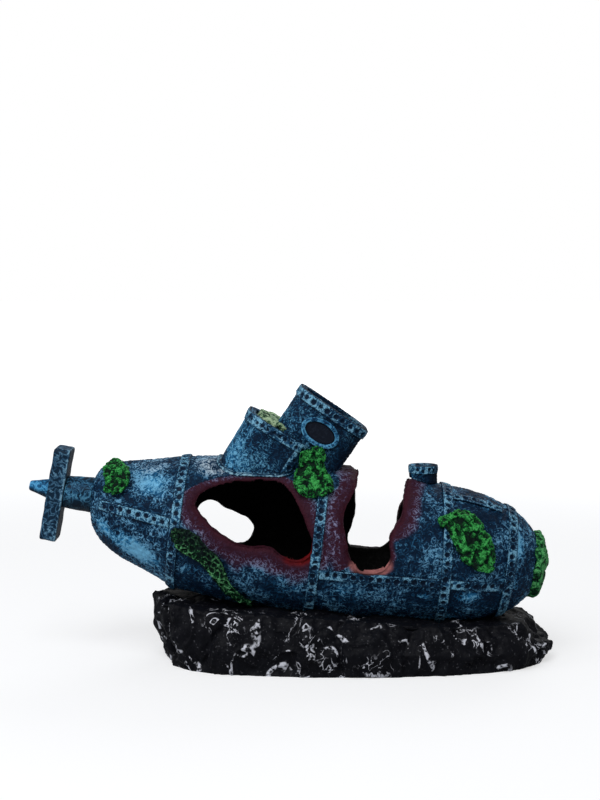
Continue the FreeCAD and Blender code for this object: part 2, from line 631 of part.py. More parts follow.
# ---------------------------------------------------------------- moss
MOSS = {
    "moss_side": [(0.3, 1.9), (6.2, 1.5), (11.4, -2.6), (16.6, -7.3), (20.8, -15.3),
                  (27.5, -22.0), (23.7, -21.6), (19.8, -19.6), (14.1, -13.9), (8.3, -8.3),
                  (0.7, -4.2)],
    "moss_bow": [(83.1, 14.7), (85.5, 16.1), (92.7, 16.8), (96.5, 13.3), (99.7, 8.9),
                 (101.4, 2.8), (101.0, 0.4), (95.9, 0.4), (90.9, 3.1), (85.5, 10.7)],
    "moss_stern": [(-24.8, 13.0), (-24.4, 17.7), (-20.4, 17.5), (-17.6, 15.6), (-17.1, 11.6),
                   (-19.7, 9.0), (-23.7, 9.0)],
    "moss_port": [(66.0, -12.0), (74.0, -10.5), (81.0, -12.5), (80.5, -17.5), (73.0, -19.5),
                  (66.5, -17.5)],
}
moss_around = group("moss_around", [lone_hoops, doc.getObject("starboard_stern_strap_run"),
                                    doc.getObject("starboard_side_strap_run"),
                                    doc.getObject("port_side_strap_run"),
                                    doc.getObject("starboard_deck_run")])
for name, points in MOSS.items():
    reach = ("0", BIG) if name == "moss_port" else (BIG, "0")
    prism = side_prism(name + "_prism", side_outline(name + "_outline", points), *reach)
    clump = common(name + "_clump", moss_skin, prism)
    part(cut(name, clump, moss_around, HULL))

nose_rod = rod("nose_rod", "sizes.nose_moss_radius", "sizes.bow_length",
               along_x("sizes.midship_length + sizes.nose_hoop_reach"))
part(cut("moss_nose", common("nose_clump", moss_skin, nose_rod), lone_hoops, HULL))

tower_moss_prism = side_prism("tower_moss_prism", side_outline(
    "tower_moss_outline", [(38.0, 29.9), (43.4, 30.2), (45.5, 24.0), (47.9, 19.7), (44.9, 17.3),
                           (37.9, 17.1), (35.3, 20.4), (36.9, 25.5)]))
tower_moss_solid = fuse("tower_moss_solid", [
    stage_block("low_moss_block", "low", "sizes.moss_proud", "sizes.tower_depth"),
    stage_block("top_moss_block", "top", "sizes.moss_proud", "sizes.tower_depth"),
    doc.getObject("moss_form")])
part(cut("moss_tower", common("tower_clump", tower_moss_solid, tower_moss_prism),
         group("tower_moss_around", [doc.getObject(name) for name in (
             "hull_form", "low_block", "top_block", "low_band", "starboard_corner_strip",
             "midship_hoop_ring", "flange_ring", "near_breach", "near_window")]), HULL))

deck_moss = stage_block("deck_moss", "low", "-sizes.tower_wall - sizes.deck_moss_gap",
                        "sizes.tower_recess", "-sizes.deck_moss_rise")
part(cut("moss_deck", deck_moss, top_block, HULL))

# ---------------------------------------------------------------- air fitting
def turned_body(name, profile, placed):
    """A PartDesign body turned about its own upright axis from (radius, height) corners."""
    body = add("PartDesign::Body", name, placed)
    plane = [item for item in body.Origin.OriginFeatures if item.Role == "XZ_Plane"][0]
    sketch = body.newObject("Sketcher::SketchObject", name + "_profile")
    sketch.AttachmentSupport = [(plane, "")]
    sketch.MapMode = "FlatFace"
    corners = [FreeCAD.Vector(worth(radius), worth(height), 0) for radius, height in profile]
    for index, corner in enumerate(corners):
        sketch.addGeometry(Part.LineSegment(corner, corners[(index + 1) % len(corners)]))
    for index, (radius, height) in enumerate(profile):
        tie(sketch, "Coincident", index - 1 if index else len(profile) - 1, 2, index, 1)
        dimension(sketch, f"radius_{index}", radius, "DistanceX", -1, 1, index, 1)
        dimension(sketch, f"height_{index}", height, "DistanceY", -1, 1, index, 1)
    turn = body.newObject("PartDesign::Revolution", name + "_turn")
    turn.Profile = sketch
    turn.ReferenceAxis = (sketch, ["V_Axis"])
    turn.Angle = 360
    return body


AIR_HULL = barrel_at("sizes.air_place")
FLOOR = f"({AIR_HULL} - sizes.wall)"
GLAND = "(sizes.riser_radius + sizes.grommet_wall)"
ELBOW = place("sizes.air_place", "0", "-sizes.elbow_drop")
ELBOW_BACK = along_y("sizes.air_place", "0", "-sizes.elbow_drop")

up_bore = rod("up_bore", "sizes.air_bore", "sizes.elbow_drop", ELBOW)
back_bore = rod("back_bore", "sizes.air_bore", BIG, ELBOW_BACK)
elbow_solid = fuse("elbow_solid", [
    rod("elbow_post", "sizes.elbow_radius", f"sizes.elbow_drop - {AIR_HULL} - sizes.strap_proud",
        ELBOW),
    rod("elbow_arm", "sizes.elbow_radius", "sizes.elbow_reach", ELBOW_BACK),
    add("Part::Sphere", "elbow_ball", ELBOW, Radius="sizes.elbow_radius")])
riser_rod = rod("riser_rod", "sizes.riser_radius",
                f"sizes.elbow_drop - {FLOOR} + sizes.riser_spigot - 2 * sizes.air_bore",
                place("sizes.air_place", "0", "-sizes.elbow_drop + 2 * sizes.air_bore"))
part(cut("air_riser", riser_rod, up_bore, HULL))
part(cut("air_elbow", elbow_solid, group("elbow_ways", [up_bore, back_bore, riser_rod]), HULL))

part(turned_body("air_spigot", [
    ("sizes.air_bore", "0"), ("sizes.spigot_radius", "0"),
    ("sizes.spigot_radius", "sizes.spigot_length - sizes.spigot_lead"),
    ("sizes.spigot_radius - sizes.spigot_lead", "sizes.spigot_length"),
    ("sizes.air_bore", "sizes.spigot_length")],
    HULL + " * " + along_y("sizes.air_place", "sizes.elbow_reach", "-sizes.elbow_drop")))
hose_room = rod("hose_room", "sizes.spigot_radius + sizes.hose_room", BIG,
                along_y("sizes.air_place", "sizes.elbow_reach", "-sizes.elbow_drop"))

part(turned_body("riser_grommet", [
    ("sizes.riser_radius", "0"), (GLAND, "0"), (GLAND, "sizes.wall"),
    (f"{GLAND} + sizes.grommet_lip", "sizes.wall"),
    (f"{GLAND} + sizes.grommet_lip", "sizes.wall + sizes.grommet_lip_height"),
    ("sizes.riser_radius", "sizes.wall + sizes.grommet_lip_height")],
    HULL + " * " + place("sizes.air_place", "0", f"-{AIR_HULL} + sizes.grommet_rise")))

socket = "sizes.riser_radius + sizes.stone_clearance"
socket_top = "sizes.riser_spigot"
part(turned_body("air_stone", [
    (socket, "0"), ("sizes.stone_radius", "0"),
    ("sizes.stone_radius", "sizes.stone_height - sizes.stone_round"),
    ("sizes.stone_radius - sizes.stone_round", "sizes.stone_height"),
    ("sizes.air_bore", "sizes.stone_height"), ("sizes.air_bore", socket_top),
    (socket, socket_top)],
    HULL + " * " + place("sizes.air_place", "0",
                         f"-{FLOOR} + sizes.grommet_rise + sizes.grommet_lip_height"
                         " + sizes.stone_clearance")))

# ---------------------------------------------------------------- rock base
LEVELS = {
    # name: height, tilt, inset at the stern end, at the bow end and at each side
    "foot": ("0", "0", "sizes.rock_foot_stern", "sizes.rock_foot_bow", "sizes.rock_foot_side"),
    "waist": ("sizes.rock_waist_height", "sizes.rock_tilt / 2", "sizes.rock_waist_stern", "0",
              "0"),
    "shoulder": ("sizes.rock_shoulder_height", "sizes.rock_tilt", "sizes.rock_shoulder_stern",
                 "sizes.rock_shoulder_bow", "sizes.rock_shoulder_side"),
    "crest": ("sizes.rock_crest_height", "sizes.rock_tilt", "sizes.rock_crest_stern",
              "sizes.rock_crest_bow", "sizes.rock_crest_side"),
}
CORNERS = 22
# how square each end's plan is: powers of cosine and of sine, 1 being an ellipse
BLUNT = {"bow": (0.88, 0.78), "stern": (0.75, 0.6)}
# the outline's lobes: count, depth as a share, and shift of each level against the one below
LOBES = ((3, 0.035, 0.8), (7, 0.03, 1.0))
# a corner whose sine is under this keeps the full length, so the two ends are not drawn in
END_SINE = 0.3
levels = []
for step, (name, (height, tilt, aft, fore, flank)) in enumerate(LEVELS.items()):
    sketch = add("Sketcher::SketchObject", "rock_" + name)
    back = worth(f"sizes.rock_length / 2 - {aft}")
    front = worth(f"sizes.rock_length / 2 - {fore}")
    deep = worth(f"sizes.rock_width / 2 - {flank}")
    corners = []
    for index in range(CORNERS):
        angle = 2 * math.pi * index / CORNERS
        lobe = min(1.0, 1 + sum(depth * math.sin(count * angle + shift * step)
                                for count, depth, shift in LOBES))
        cosine, sine = math.cos(angle), math.sin(angle)
        reach = front if cosine > 0 else back
        square, flat = BLUNT["bow"] if cosine > 0 else BLUNT["stern"]
        corners.append(FreeCAD.Vector(
            math.copysign(abs(cosine) ** square, cosine) * reach * (lobe if abs(sine) > END_SINE else 1),
            math.copysign(abs(sine) ** flat, sine) * deep * lobe, 0))
    for index in range(CORNERS):
        sketch.addGeometry(Part.LineSegment(corners[index], corners[(index + 1) % CORNERS]))
    sketch.setExpression("Placement", place("sizes.rock_middle", "0", height, (0, 1, 0), tilt))
    levels.append(sketch)
rock_body = add("Part::Loft", "rock_body")
rock_body.Sections = levels
rock_body.Solid = True
rock_body.Ruled = True
seated = fuse("seated", [hull_form] + bare_hoops)
rock_tools = group("rock_tools", [seated, elbow_solid, riser_rod, hose_room], HULL)
part(cut("rock_base", rock_body, rock_tools))

doc.recompute()

for item in doc.Objects:
    if "Invalid" in item.State or "Error" in item.State:
        raise RuntimeError(f"{item.Name} failed to recompute: {item.State}")
for item in PARTS:
    if item.Shape.isNull() or not item.Shape.isValid() or not item.Shape.Solids:
        raise RuntimeError(f"{item.Label} has no valid solid")
for item in PARTS:
    item.Shape.exportStep(f"parts/{item.Label}.step")
print(f"{len(PARTS)} pieces written")
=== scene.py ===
# %% [markdown]
# Bubbling ornament: a cast resin wreck that leans on a black rock.
# The CAD frame gives every piece its size and place. Blender gives the skin: wrinkles, rivets, moss, crags and paint.
# The frame is loaded first, and its box is kept and printed.

# %% Load the frame
import itertools
import json
import math

import bmesh
import bpy
import numpy as np
from mathutils import Euler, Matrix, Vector, kdtree


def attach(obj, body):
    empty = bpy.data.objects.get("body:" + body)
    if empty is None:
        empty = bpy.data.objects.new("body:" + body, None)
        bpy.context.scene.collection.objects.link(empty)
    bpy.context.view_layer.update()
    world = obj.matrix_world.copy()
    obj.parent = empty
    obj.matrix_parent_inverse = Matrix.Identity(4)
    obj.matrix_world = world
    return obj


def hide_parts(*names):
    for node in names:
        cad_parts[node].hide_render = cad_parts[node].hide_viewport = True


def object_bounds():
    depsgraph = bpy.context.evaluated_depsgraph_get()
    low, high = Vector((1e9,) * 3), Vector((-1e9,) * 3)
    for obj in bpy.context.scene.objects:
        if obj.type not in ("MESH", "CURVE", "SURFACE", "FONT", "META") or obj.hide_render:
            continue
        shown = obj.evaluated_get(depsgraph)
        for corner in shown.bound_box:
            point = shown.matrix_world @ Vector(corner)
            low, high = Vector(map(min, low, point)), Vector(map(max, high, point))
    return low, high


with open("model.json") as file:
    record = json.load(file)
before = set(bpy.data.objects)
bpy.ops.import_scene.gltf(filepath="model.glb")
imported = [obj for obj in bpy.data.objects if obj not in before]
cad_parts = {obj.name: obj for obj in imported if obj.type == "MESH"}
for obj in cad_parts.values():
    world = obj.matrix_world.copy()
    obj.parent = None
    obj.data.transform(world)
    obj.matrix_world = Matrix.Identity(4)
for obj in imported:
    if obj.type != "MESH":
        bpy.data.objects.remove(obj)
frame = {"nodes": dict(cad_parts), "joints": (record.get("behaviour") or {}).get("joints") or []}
cad_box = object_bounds()
MM = 0.001
print("CAD box, mm:", [[round(v / MM, 1) for v in corner] for corner in cad_box])

# %% [markdown]
# The ornament stands on a pale sweep in soft light from all round, as in a product studio.
# A wide soft box above and in front draws the upper edges, a weaker one on the left opens the stern's shadow, and one
# behind outlines the back. Area lamps are used because their shadows are soft, as a real soft box's are.
# The world looks white but lights the model only weakly, or the black rock would turn grey.
# The camera stands half a metre away, a little above the ornament, so it looks slightly down on it.

# %% Camera and lights
CAMERA_PLACE = (0.00308, -0.5, 0.13154)
CAMERA_TILT = 84.694  # degrees up from straight down
CAMERA_LENS = 69.38  # millimetres, before a sensor 36 millimetres wide
scene = bpy.context.scene
scene.view_settings.view_transform = "Standard"


def show(thing):
    """Puts a new object in the scene."""
    scene.collection.objects.link(thing)
    return thing


camera = show(bpy.data.objects.new("camera", bpy.data.cameras.new("camera")))
camera.location = CAMERA_PLACE
camera.rotation_euler = Euler((math.radians(CAMERA_TILT), 0, 0))
camera.data.sensor_width = 36
camera.data.lens = CAMERA_LENS
camera.data.clip_start = 0.01
scene.camera = camera


def soft_box(name, place, aim, width, power):
    """A square lamp at a place, turned to a point."""
    lamp = bpy.data.lights.new(name, "AREA")
    lamp.shape = "SQUARE"
    lamp.size = width
    lamp.energy = power
    stand = show(bpy.data.objects.new(name, lamp))
    stand.location = place
    stand.rotation_euler = (Vector(aim) - Vector(place)).to_track_quat("-Z", "Y").to_euler()


AIM = (0, 0, 0.04)
ROOM_LIGHT = 0.32
soft_box("key_box", (-0.15, -0.55, 0.75), AIM, 0.5, 4.0)
soft_box("stern_box", (-0.7, -0.35, 0.35), AIM, 0.4, 1.2)
soft_box("back_box", (0.3, 0.7, 0.6), AIM, 0.5, 1.5)

world = bpy.data.worlds.new("white_room")
world.use_nodes = True
sky = world.node_tree
sky.nodes.clear()
seen = sky.nodes.new("ShaderNodeBackground")
seen.inputs["Strength"].default_value = 1.0
seen.inputs["Color"].default_value = (1, 1, 1, 1)
lit = sky.nodes.new("ShaderNodeBackground")
lit.inputs["Color"].default_value = (1, 1, 1, 1)
lit.inputs["Strength"].default_value = ROOM_LIGHT
choose = sky.nodes.new("ShaderNodeMixShader")
sky.links.new(sky.nodes.new("ShaderNodeLightPath").outputs["Is Camera Ray"], choose.inputs["Fac"])
sky.links.new(lit.outputs[0], choose.inputs[1])
sky.links.new(seen.outputs[0], choose.inputs[2])
sky.links.new(choose.outputs[0], sky.nodes.new("ShaderNodeOutputWorld").inputs["Surface"])
scene.world = world
print("camera and", len(bpy.data.lights), "soft boxes")

# %% [markdown]
# Materials are built from nodes: each makes a number or a colour from others, and a chain of them is a paint. Short
# helpers keep that readable. One adds a node and fills its inputs, one does arithmetic, one turns a range into a
# smooth 0 to 1 mask, and one mixes two colours by a mask. The others read a mask that was painted on the mesh, give
# places in millimetres, make cloudy noise and name a colour.

# %% Node helpers
def add(tree, kind, inputs=None, **settings):
    """A new node with its settings, its inputs filled with values or with other nodes' outputs."""
    made = tree.nodes.new(kind)
    for key, value in settings.items():
        setattr(made, key, value)
    for key, value in (inputs or {}).items():
        if isinstance(value, bpy.types.NodeSocket):
            tree.links.new(value, made.inputs[key])
        else:
            made.inputs[key].default_value = value
    return made


def calc(tree, operation, first, second=0.0, clamp=False):
    """One step of arithmetic."""
    return add(tree, "ShaderNodeMath", {0: first, 1: second}, operation=operation, use_clamp=clamp).outputs[0]


def mask(tree, value, low, high):
    """0 at low and 1 at high, smooth between them."""
    return add(tree, "ShaderNodeMapRange", {0: value, 1: low, 2: high}, interpolation_type="SMOOTHSTEP").outputs[0]


def mix(tree, share, first, second):
    """The first colour at 0 and the second at 1."""
    return add(tree, "ShaderNodeMix", {0: share, 6: first, 7: second}, data_type="RGBA").outputs[2]


def read(tree, name):
    """A mask that was painted on the mesh."""
    return add(tree, "ShaderNodeAttribute", attribute_name=name).outputs["Fac"]


def millimetres(tree):
    """Places on the object in millimetres."""
    place = add(tree, "ShaderNodeTexCoord").outputs["Object"]
    return add(tree, "ShaderNodeVectorMath", {0: place, "Scale": 1000.0}, operation="SCALE").outputs[0]


def noise(tree, scale, detail=2.0, twist=0.0, place=None):
    """Cloudy noise with that many lumps per millimetre."""
    return add(tree, "ShaderNodeTexNoise", {"Vector": place or millimetres(tree), "Scale": scale,
                                            "Detail": detail, "Distortion": twist}).outputs["Fac"]


def rgb(red, green, blue):
    """An opaque colour."""
    return (red, green, blue, 1.0)


print("node helpers: add, calc, mask, mix, read, millimetres, noise, rgb")


# %% [markdown]
# Two effects come back in most of the paints, so each is a node group.
# Wrinkles: the casting's skin is a mat of fine worm-like ridges. Where smooth noise passes its middle value it
# draws just such winding lines.
# Dry brush: a nearly dry brush dragged over the ridges leaves light paint on the crests and none in the hollows.

# %% Shared effects
def group(name, inputs, outputs):
    """An empty node group with named number and colour sockets."""
    tree = bpy.data.node_groups.new(name, "ShaderNodeTree")
    for way, sockets in (("INPUT", inputs), ("OUTPUT", outputs)):
        for label, start in sockets.items():
            kind = "NodeSocketColor" if isinstance(start, tuple) else "NodeSocketFloat"
            socket = tree.interface.new_socket(name=label, in_out=way, socket_type=kind)
            socket.default_value = start
    return tree, tree.nodes.new("NodeGroupInput").outputs, tree.nodes.new("NodeGroupOutput").inputs


wrinkles, given, out = group("wrinkles", {"Grain": 0.9, "Twist": 1.0, "Line": 0.07}, {"Crest": 0.0, "Grit": 0.0})
winding = noise(wrinkles, given["Grain"], 3.0, given["Twist"])
off_middle = calc(wrinkles, "ABSOLUTE", calc(wrinkles, "SUBTRACT", winding, 0.5))
line = calc(wrinkles, "SUBTRACT", 1.0, calc(wrinkles, "DIVIDE", off_middle, given["Line"]), clamp=True)
grit = noise(wrinkles, calc(wrinkles, "MULTIPLY", given["Grain"], 3.1), 2.0)
wrinkles.links.new(line, out["Crest"])
wrinkles.links.new(grit, out["Grit"])

dry_brush, given, out = group(
    "dry_brush",
    {"Crest": 0.0, "Grit": 0.5, "Cover": 0.5, "Deep": rgb(0, 0, 0), "Middle": rgb(0, 0, 0), "Light": rgb(1, 1, 1)},
    {"Color": rgb(0, 0, 0), "Paint": 0.0})
catch = calc(dry_brush, "ADD", calc(dry_brush, "MULTIPLY", given["Crest"], 0.62),
             calc(dry_brush, "MULTIPLY", given["Grit"], 0.5))
reach = calc(dry_brush, "ADD", catch, calc(dry_brush, "SUBTRACT", given["Cover"], 0.5))
low_coat = mix(dry_brush, mask(dry_brush, reach, 0.18, 0.62), given["Deep"], given["Middle"])
brushed = mask(dry_brush, reach, 0.55, 0.98)
dry_brush.links.new(mix(dry_brush, brushed, low_coat, given["Light"]), out["Color"])
dry_brush.links.new(brushed, out["Paint"])


def place_group(tree, effect, **inputs):
    """A shared effect placed in a material with its own values."""
    made = tree.nodes.new("ShaderNodeGroup")
    made.node_tree = effect
    for label, value in inputs.items():
        if isinstance(value, bpy.types.NodeSocket):
            tree.links.new(value, made.inputs[label])
        else:
            made.inputs[label].default_value = value
    return made.outputs


def finish_of(name, roughness):
    """A new material's tree with its shader, and the material."""
    material = bpy.data.materials.new(name)
    material.use_nodes = True
    tree = material.node_tree
    tree.nodes.clear()
    shader = add(tree, "ShaderNodeBsdfPrincipled", {"Roughness": roughness, "Specular IOR Level": 0.10})
    add(tree, "ShaderNodeOutputMaterial", {"Surface": shader.outputs[0]})
    return material, tree, shader


def roughen(tree, shader, height, depth):
    """Bump that deep, in millimetres, on the shader."""
    bump = add(tree, "ShaderNodeBump", {"Height": height, "Distance": depth * MM, "Strength": 1.0})
    tree.links.new(bump.outputs[0], shader.inputs["Normal"])


print("groups:", [g.name for g in bpy.data.node_groups])

# %% [markdown]
# The real hull is black-blue under several blues, brushed on nearly dry, so they caught on the ridges only. One
# flat blue would look like plastic, so the paint is built in the order a painter works: wash, coat, then light
# brush. Masks painted on the mesh say where each goes: glow for sky blue patches, partly the real brushing and partly
# painted light on the lower stern and on the stern sides of the tower and the vent, chalk for the grey-white top, raw
# for the dark red round the openings, lip for their cut edges, hot and salmon for the redder and paler stretches of
# those, scratch for the streaks between the window and the breach, a black mask for the unlit black cavity and for
# painted shade on the bow sides of the tower and the vent, and worn for the ridges that stand proud.

# %% Hull paint
NAVY_WASH, NAVY_COAT, GLOWING_COAT = rgb(0.0014, 0.0125, 0.036), rgb(0.006, 0.052, 0.125), rgb(0.020, 0.20, 0.44)
# SKY_BLUE is partly the real light brushing and partly painted light on the lower stern, which faces down
SKY_BLUE, CHALKY_BLUE = rgb(0.20, 0.56, 0.86), rgb(0.44, 0.56, 0.66)
MAROON_WASH, MAROON_COAT, MAROON_CRACKLE = rgb(0.038, 0.0085, 0.020), rgb(0.060, 0.030, 0.068), rgb(0.22, 0.22, 0.36)
LIP_RED, LIP_HOT, LIP_SALMON = rgb(0.052, 0.0085, 0.017), rgb(0.150, 0.005, 0.007), rgb(0.62, 0.24, 0.23)
# black for the unlit cavity, and painted shade on the bow sides of the tower and the vent
CAVITY_AND_SHADE_BLACK = rgb(0.0008, 0.0007, 0.0010)


def hull_finish(name, grain, light, cover):
    """Brushed blue paint. The tower, the hull and the vent share it with their own grain and lightness."""
    material, tree, shader = finish_of(name, 0.6)
    ridges = place_group(tree, wrinkles, Grain=grain, Twist=0.9, Line=0.085)
    cloud = noise(tree, 0.11, 2.0)
    glow, chalk, raw = read(tree, "glow"), read(tree, "chalk"), read(tree, "raw")
    patchy = calc(tree, "MULTIPLY", calc(tree, "SUBTRACT", cloud, 0.5), 1.7)
    bright = calc(tree, "ADD", calc(tree, "MULTIPLY", glow, 0.50), calc(tree, "MULTIPLY", chalk, 0.4))
    coverage = calc(tree, "ADD", calc(tree, "ADD", patchy, bright),
                    calc(tree, "ADD", cover, calc(tree, "MULTIPLY", read(tree, "worn"), 0.25)))
    # the glow mask brings in sky blue: partly real brushing, partly painted light
    blue = mix(tree, glow, light, SKY_BLUE)
    pale = mix(tree, chalk, blue, CHALKY_BLUE)
    middle = mix(tree, glow, NAVY_COAT, GLOWING_COAT)
    painted = place_group(tree, dry_brush, Crest=ridges["Crest"], Grit=ridges["Grit"], Cover=coverage,
                          Deep=NAVY_WASH, Middle=middle, Light=pale)
    streaks = add(tree, "ShaderNodeVectorMath", {0: millimetres(tree), 1: (0.9, 0.9, 0.10)}, operation="MULTIPLY")
    scratch = calc(tree, "MULTIPLY", mask(tree, noise(tree, 1.0, 2.0, 0.4, streaks.outputs[0]), 0.52, 0.66),
                   read(tree, "scratch"))
    crackled = calc(tree, "ADD", calc(tree, "MULTIPLY", patchy, 0.6), mask(tree, raw, 0.95, 0.50))
    sprayed_cover = calc(tree, "ADD", calc(tree, "MULTIPLY", crackled, 0.58), calc(tree, "MULTIPLY", scratch, 0.40))
    sprayed = place_group(tree, dry_brush, Crest=ridges["Crest"], Grit=ridges["Grit"], Cover=sprayed_cover,
                          Deep=MAROON_WASH, Middle=MAROON_COAT, Light=MAROON_CRACKLE)
    coloured = mix(tree, mask(tree, raw, 0.05, 0.65), painted["Color"], sprayed["Color"])
    reddened = mix(tree, read(tree, "hot"), LIP_RED, LIP_HOT)
    lip_colour = mix(tree, read(tree, "salmon"), reddened, LIP_SALMON)
    lipped = mix(tree, read(tree, "lip"), coloured, lip_colour)
    # the black mask: the unlit cavity, and painted shade on the tower's and vent's bow sides
    shader_colour = mix(tree, read(tree, "inside_and_shade"), lipped, CAVITY_AND_SHADE_BLACK)
    tree.links.new(shader_colour, shader.inputs["Base Color"])
    roughen(tree, shader, calc(tree, "ADD", ridges["Crest"], calc(tree, "MULTIPLY", ridges["Grit"], 0.6)), 0.16)
    return material


hull_paint = hull_finish("hull_paint", 0.62, rgb(0.15, 0.39, 0.62), 0.32)
tower_paint = hull_finish("tower_paint", 0.70, rgb(0.12, 0.36, 0.56), 0.30)
print("hull paints:", hull_paint.name, tower_paint.name)

# %% [markdown]
# Straps are brushed almost solid light blue, and their rivet hollows keep the black wash.
# In some stretches the brush missed, so only the thin borders and the rings round the hollows are light.
# The masks pit, ring, border and side come from the shape of the rivet row itself, so paint and hollows always agree.

# %% Strap paint
strap_paint, tree, shader = finish_of("strap_paint", 0.5)
ridges = place_group(tree, wrinkles, Grain=0.8, Twist=0.7, Line=0.09)
missed = mask(tree, noise(tree, 0.15, 1.0), 0.42, 0.58)
kept = calc(tree, "MAXIMUM", read(tree, "ring"), read(tree, "border"))
field = calc(tree, "SUBTRACT", 0.80, calc(tree, "MULTIPLY", missed, 0.60))
coverage = calc(tree, "MAXIMUM", field, calc(tree, "MULTIPLY", kept, 0.66))
painted = place_group(tree, dry_brush, Crest=ridges["Crest"], Grit=ridges["Grit"], Cover=coverage,
                      Deep=rgb(0.0016, 0.013, 0.036), Middle=rgb(0.012, 0.075, 0.165), Light=rgb(0.19, 0.44, 0.62))
washed = mix(tree, calc(tree, "MAXIMUM", read(tree, "pit"), read(tree, "side")), painted["Color"],
             rgb(0.0010, 0.010, 0.030))
tree.links.new(washed, shader.inputs["Base Color"])
roughen(tree, shader, ridges["Grit"], 0.10)
print("strap paint:", len(tree.nodes), "nodes")

# %% [markdown]
# Plain painted parts: the screw, its cone and shaft, the tower's flange and the oval ring. Each is one blue with
# paler edges. Worn edges could be baked from curvature, but a mask of the distance to the CAD's sharp edges needs
# no baking.

# %% Screw and ring paint
def plain_blue(name, deep, middle, light, cover):
    """Brushed blue with pale worn edges."""
    material, tree, shader = finish_of(name, 0.5)
    ridges = place_group(tree, wrinkles, Grain=0.5, Twist=0.6, Line=0.10)
    edge = read(tree, "edge")
    cloud = calc(tree, "MULTIPLY", calc(tree, "SUBTRACT", noise(tree, 0.2, 2.0), 0.5), 0.8)
    coverage = calc(tree, "ADD", calc(tree, "ADD", cover, cloud), calc(tree, "MULTIPLY", edge, 0.45))
    painted = place_group(tree, dry_brush, Crest=ridges["Crest"], Grit=ridges["Grit"], Cover=coverage,
                          Deep=deep, Middle=middle, Light=light)
    # painted shade: darker where the shade mask is set
    shaded = mix(tree, read(tree, "shade"), painted["Color"], rgb(0.004, 0.011, 0.022))
    tree.links.new(shaded, shader.inputs["Base Color"])
    roughen(tree, shader, ridges["Grit"], 0.12)
    return material


BLUES = {  # deep, middle and light paint, and how much the light one covers
    "screw_paint": (rgb(0.004, 0.020, 0.045), rgb(0.028, 0.090, 0.170), rgb(0.20, 0.40, 0.55), 0.36),
    "cone_paint": (rgb(0.004, 0.04, 0.10), rgb(0.014, 0.13, 0.30), rgb(0.09, 0.38, 0.68), 0.58),
    "shaft_paint": (rgb(0.003, 0.018, 0.038), rgb(0.012, 0.070, 0.15), rgb(0.09, 0.29, 0.46), 0.48),
    "ring_paint": (rgb(0.003, 0.022, 0.06), rgb(0.014, 0.10, 0.22), rgb(0.10, 0.34, 0.56), 0.50),
    "flange_paint": (rgb(0.002, 0.014, 0.035), rgb(0.016, 0.075, 0.15), rgb(0.24, 0.44, 0.56), 0.40),
}
plain = {name: plain_blue(name, *blues) for name, blues in BLUES.items()}
print("plain blues:", list(plain))

# %% [markdown]
# The pane in each oval ring is not glass but solid resin, painted almost black with a slight shine.

# %% Pane paint
pane_paint, tree, shader = finish_of("pane_paint", 0.32)
ridges = place_group(tree, wrinkles, Grain=0.6, Twist=0.5, Line=0.05)
painted = place_group(tree, dry_brush, Crest=ridges["Crest"], Grit=ridges["Grit"], Cover=0.22,
                      Deep=rgb(0.006, 0.009, 0.017), Middle=rgb(0.012, 0.018, 0.030), Light=rgb(0.05, 0.07, 0.10))
tree.links.new(painted["Color"], shader.inputs["Base Color"])
roughen(tree, shader, ridges["Grit"], 0.08)
print("pane paint:", len(tree.nodes), "nodes")

# %% [markdown]
# Moss is stippled on in greens over its own lumps. The hollows stay black-green, and the tops catch the brightest
# green. Old patches are greyer, so each patch mixes its own two greens.

# %% Moss paint
def moss_finish(name, fresh, tip, cover):
    """Stippled green on lumps, dark between them."""
    material, tree, shader = finish_of(name, 0.6)
    ridges = place_group(tree, wrinkles, Grain=0.7, Twist=1.2, Line=0.10)
    lump = read(tree, "lump")
    cloud = calc(tree, "MULTIPLY", calc(tree, "SUBTRACT", noise(tree, 0.25, 2.0), 0.5), 0.9)
    coverage = calc(tree, "ADD", calc(tree, "MULTIPLY", lump, 0.85), calc(tree, "ADD", cover, cloud))
    painted = place_group(tree, dry_brush, Crest=ridges["Crest"], Grit=ridges["Grit"], Cover=coverage,
                          Deep=rgb(0.001, 0.008, 0.006), Middle=fresh, Light=tip)
    faded = mix(tree, read(tree, "shade"), painted["Color"], rgb(0.002, 0.007, 0.009))
    tree.links.new(faded, shader.inputs["Base Color"])
    roughen(tree, shader, calc(tree, "ADD", lump, ridges["Grit"]), 0.25)
    return material


moss_fresh = moss_finish("moss_fresh", rgb(0.003, 0.105, 0.018), rgb(0.055, 0.40, 0.09), -0.08)
moss_dark = moss_finish("moss_dark", rgb(0.002, 0.070, 0.020), rgb(0.15, 0.46, 0.20), 0.05)
moss_pale = moss_finish("moss_pale", rgb(0.05, 0.14, 0.07), rgb(0.42, 0.58, 0.36), 0.20)
moss_nose = moss_finish("moss_nose", rgb(0.006, 0.12, 0.03), rgb(0.10, 0.42, 0.14), 0.02)
print("moss paints:", [m.name for m in (moss_fresh, moss_dark, moss_pale, moss_nose)])

# %% [markdown]
# The rock is black paint with a slight gloss, and its white marks are duller. A loaded brush was dabbed on it, so
# thin white veins wander over it and stop, and white smears lie on its ridges. The veins are the wrinkles group at
# a much larger size, broken up by noise. The smears follow the mask crest, because they have to sit on the sculpted
# ridges.

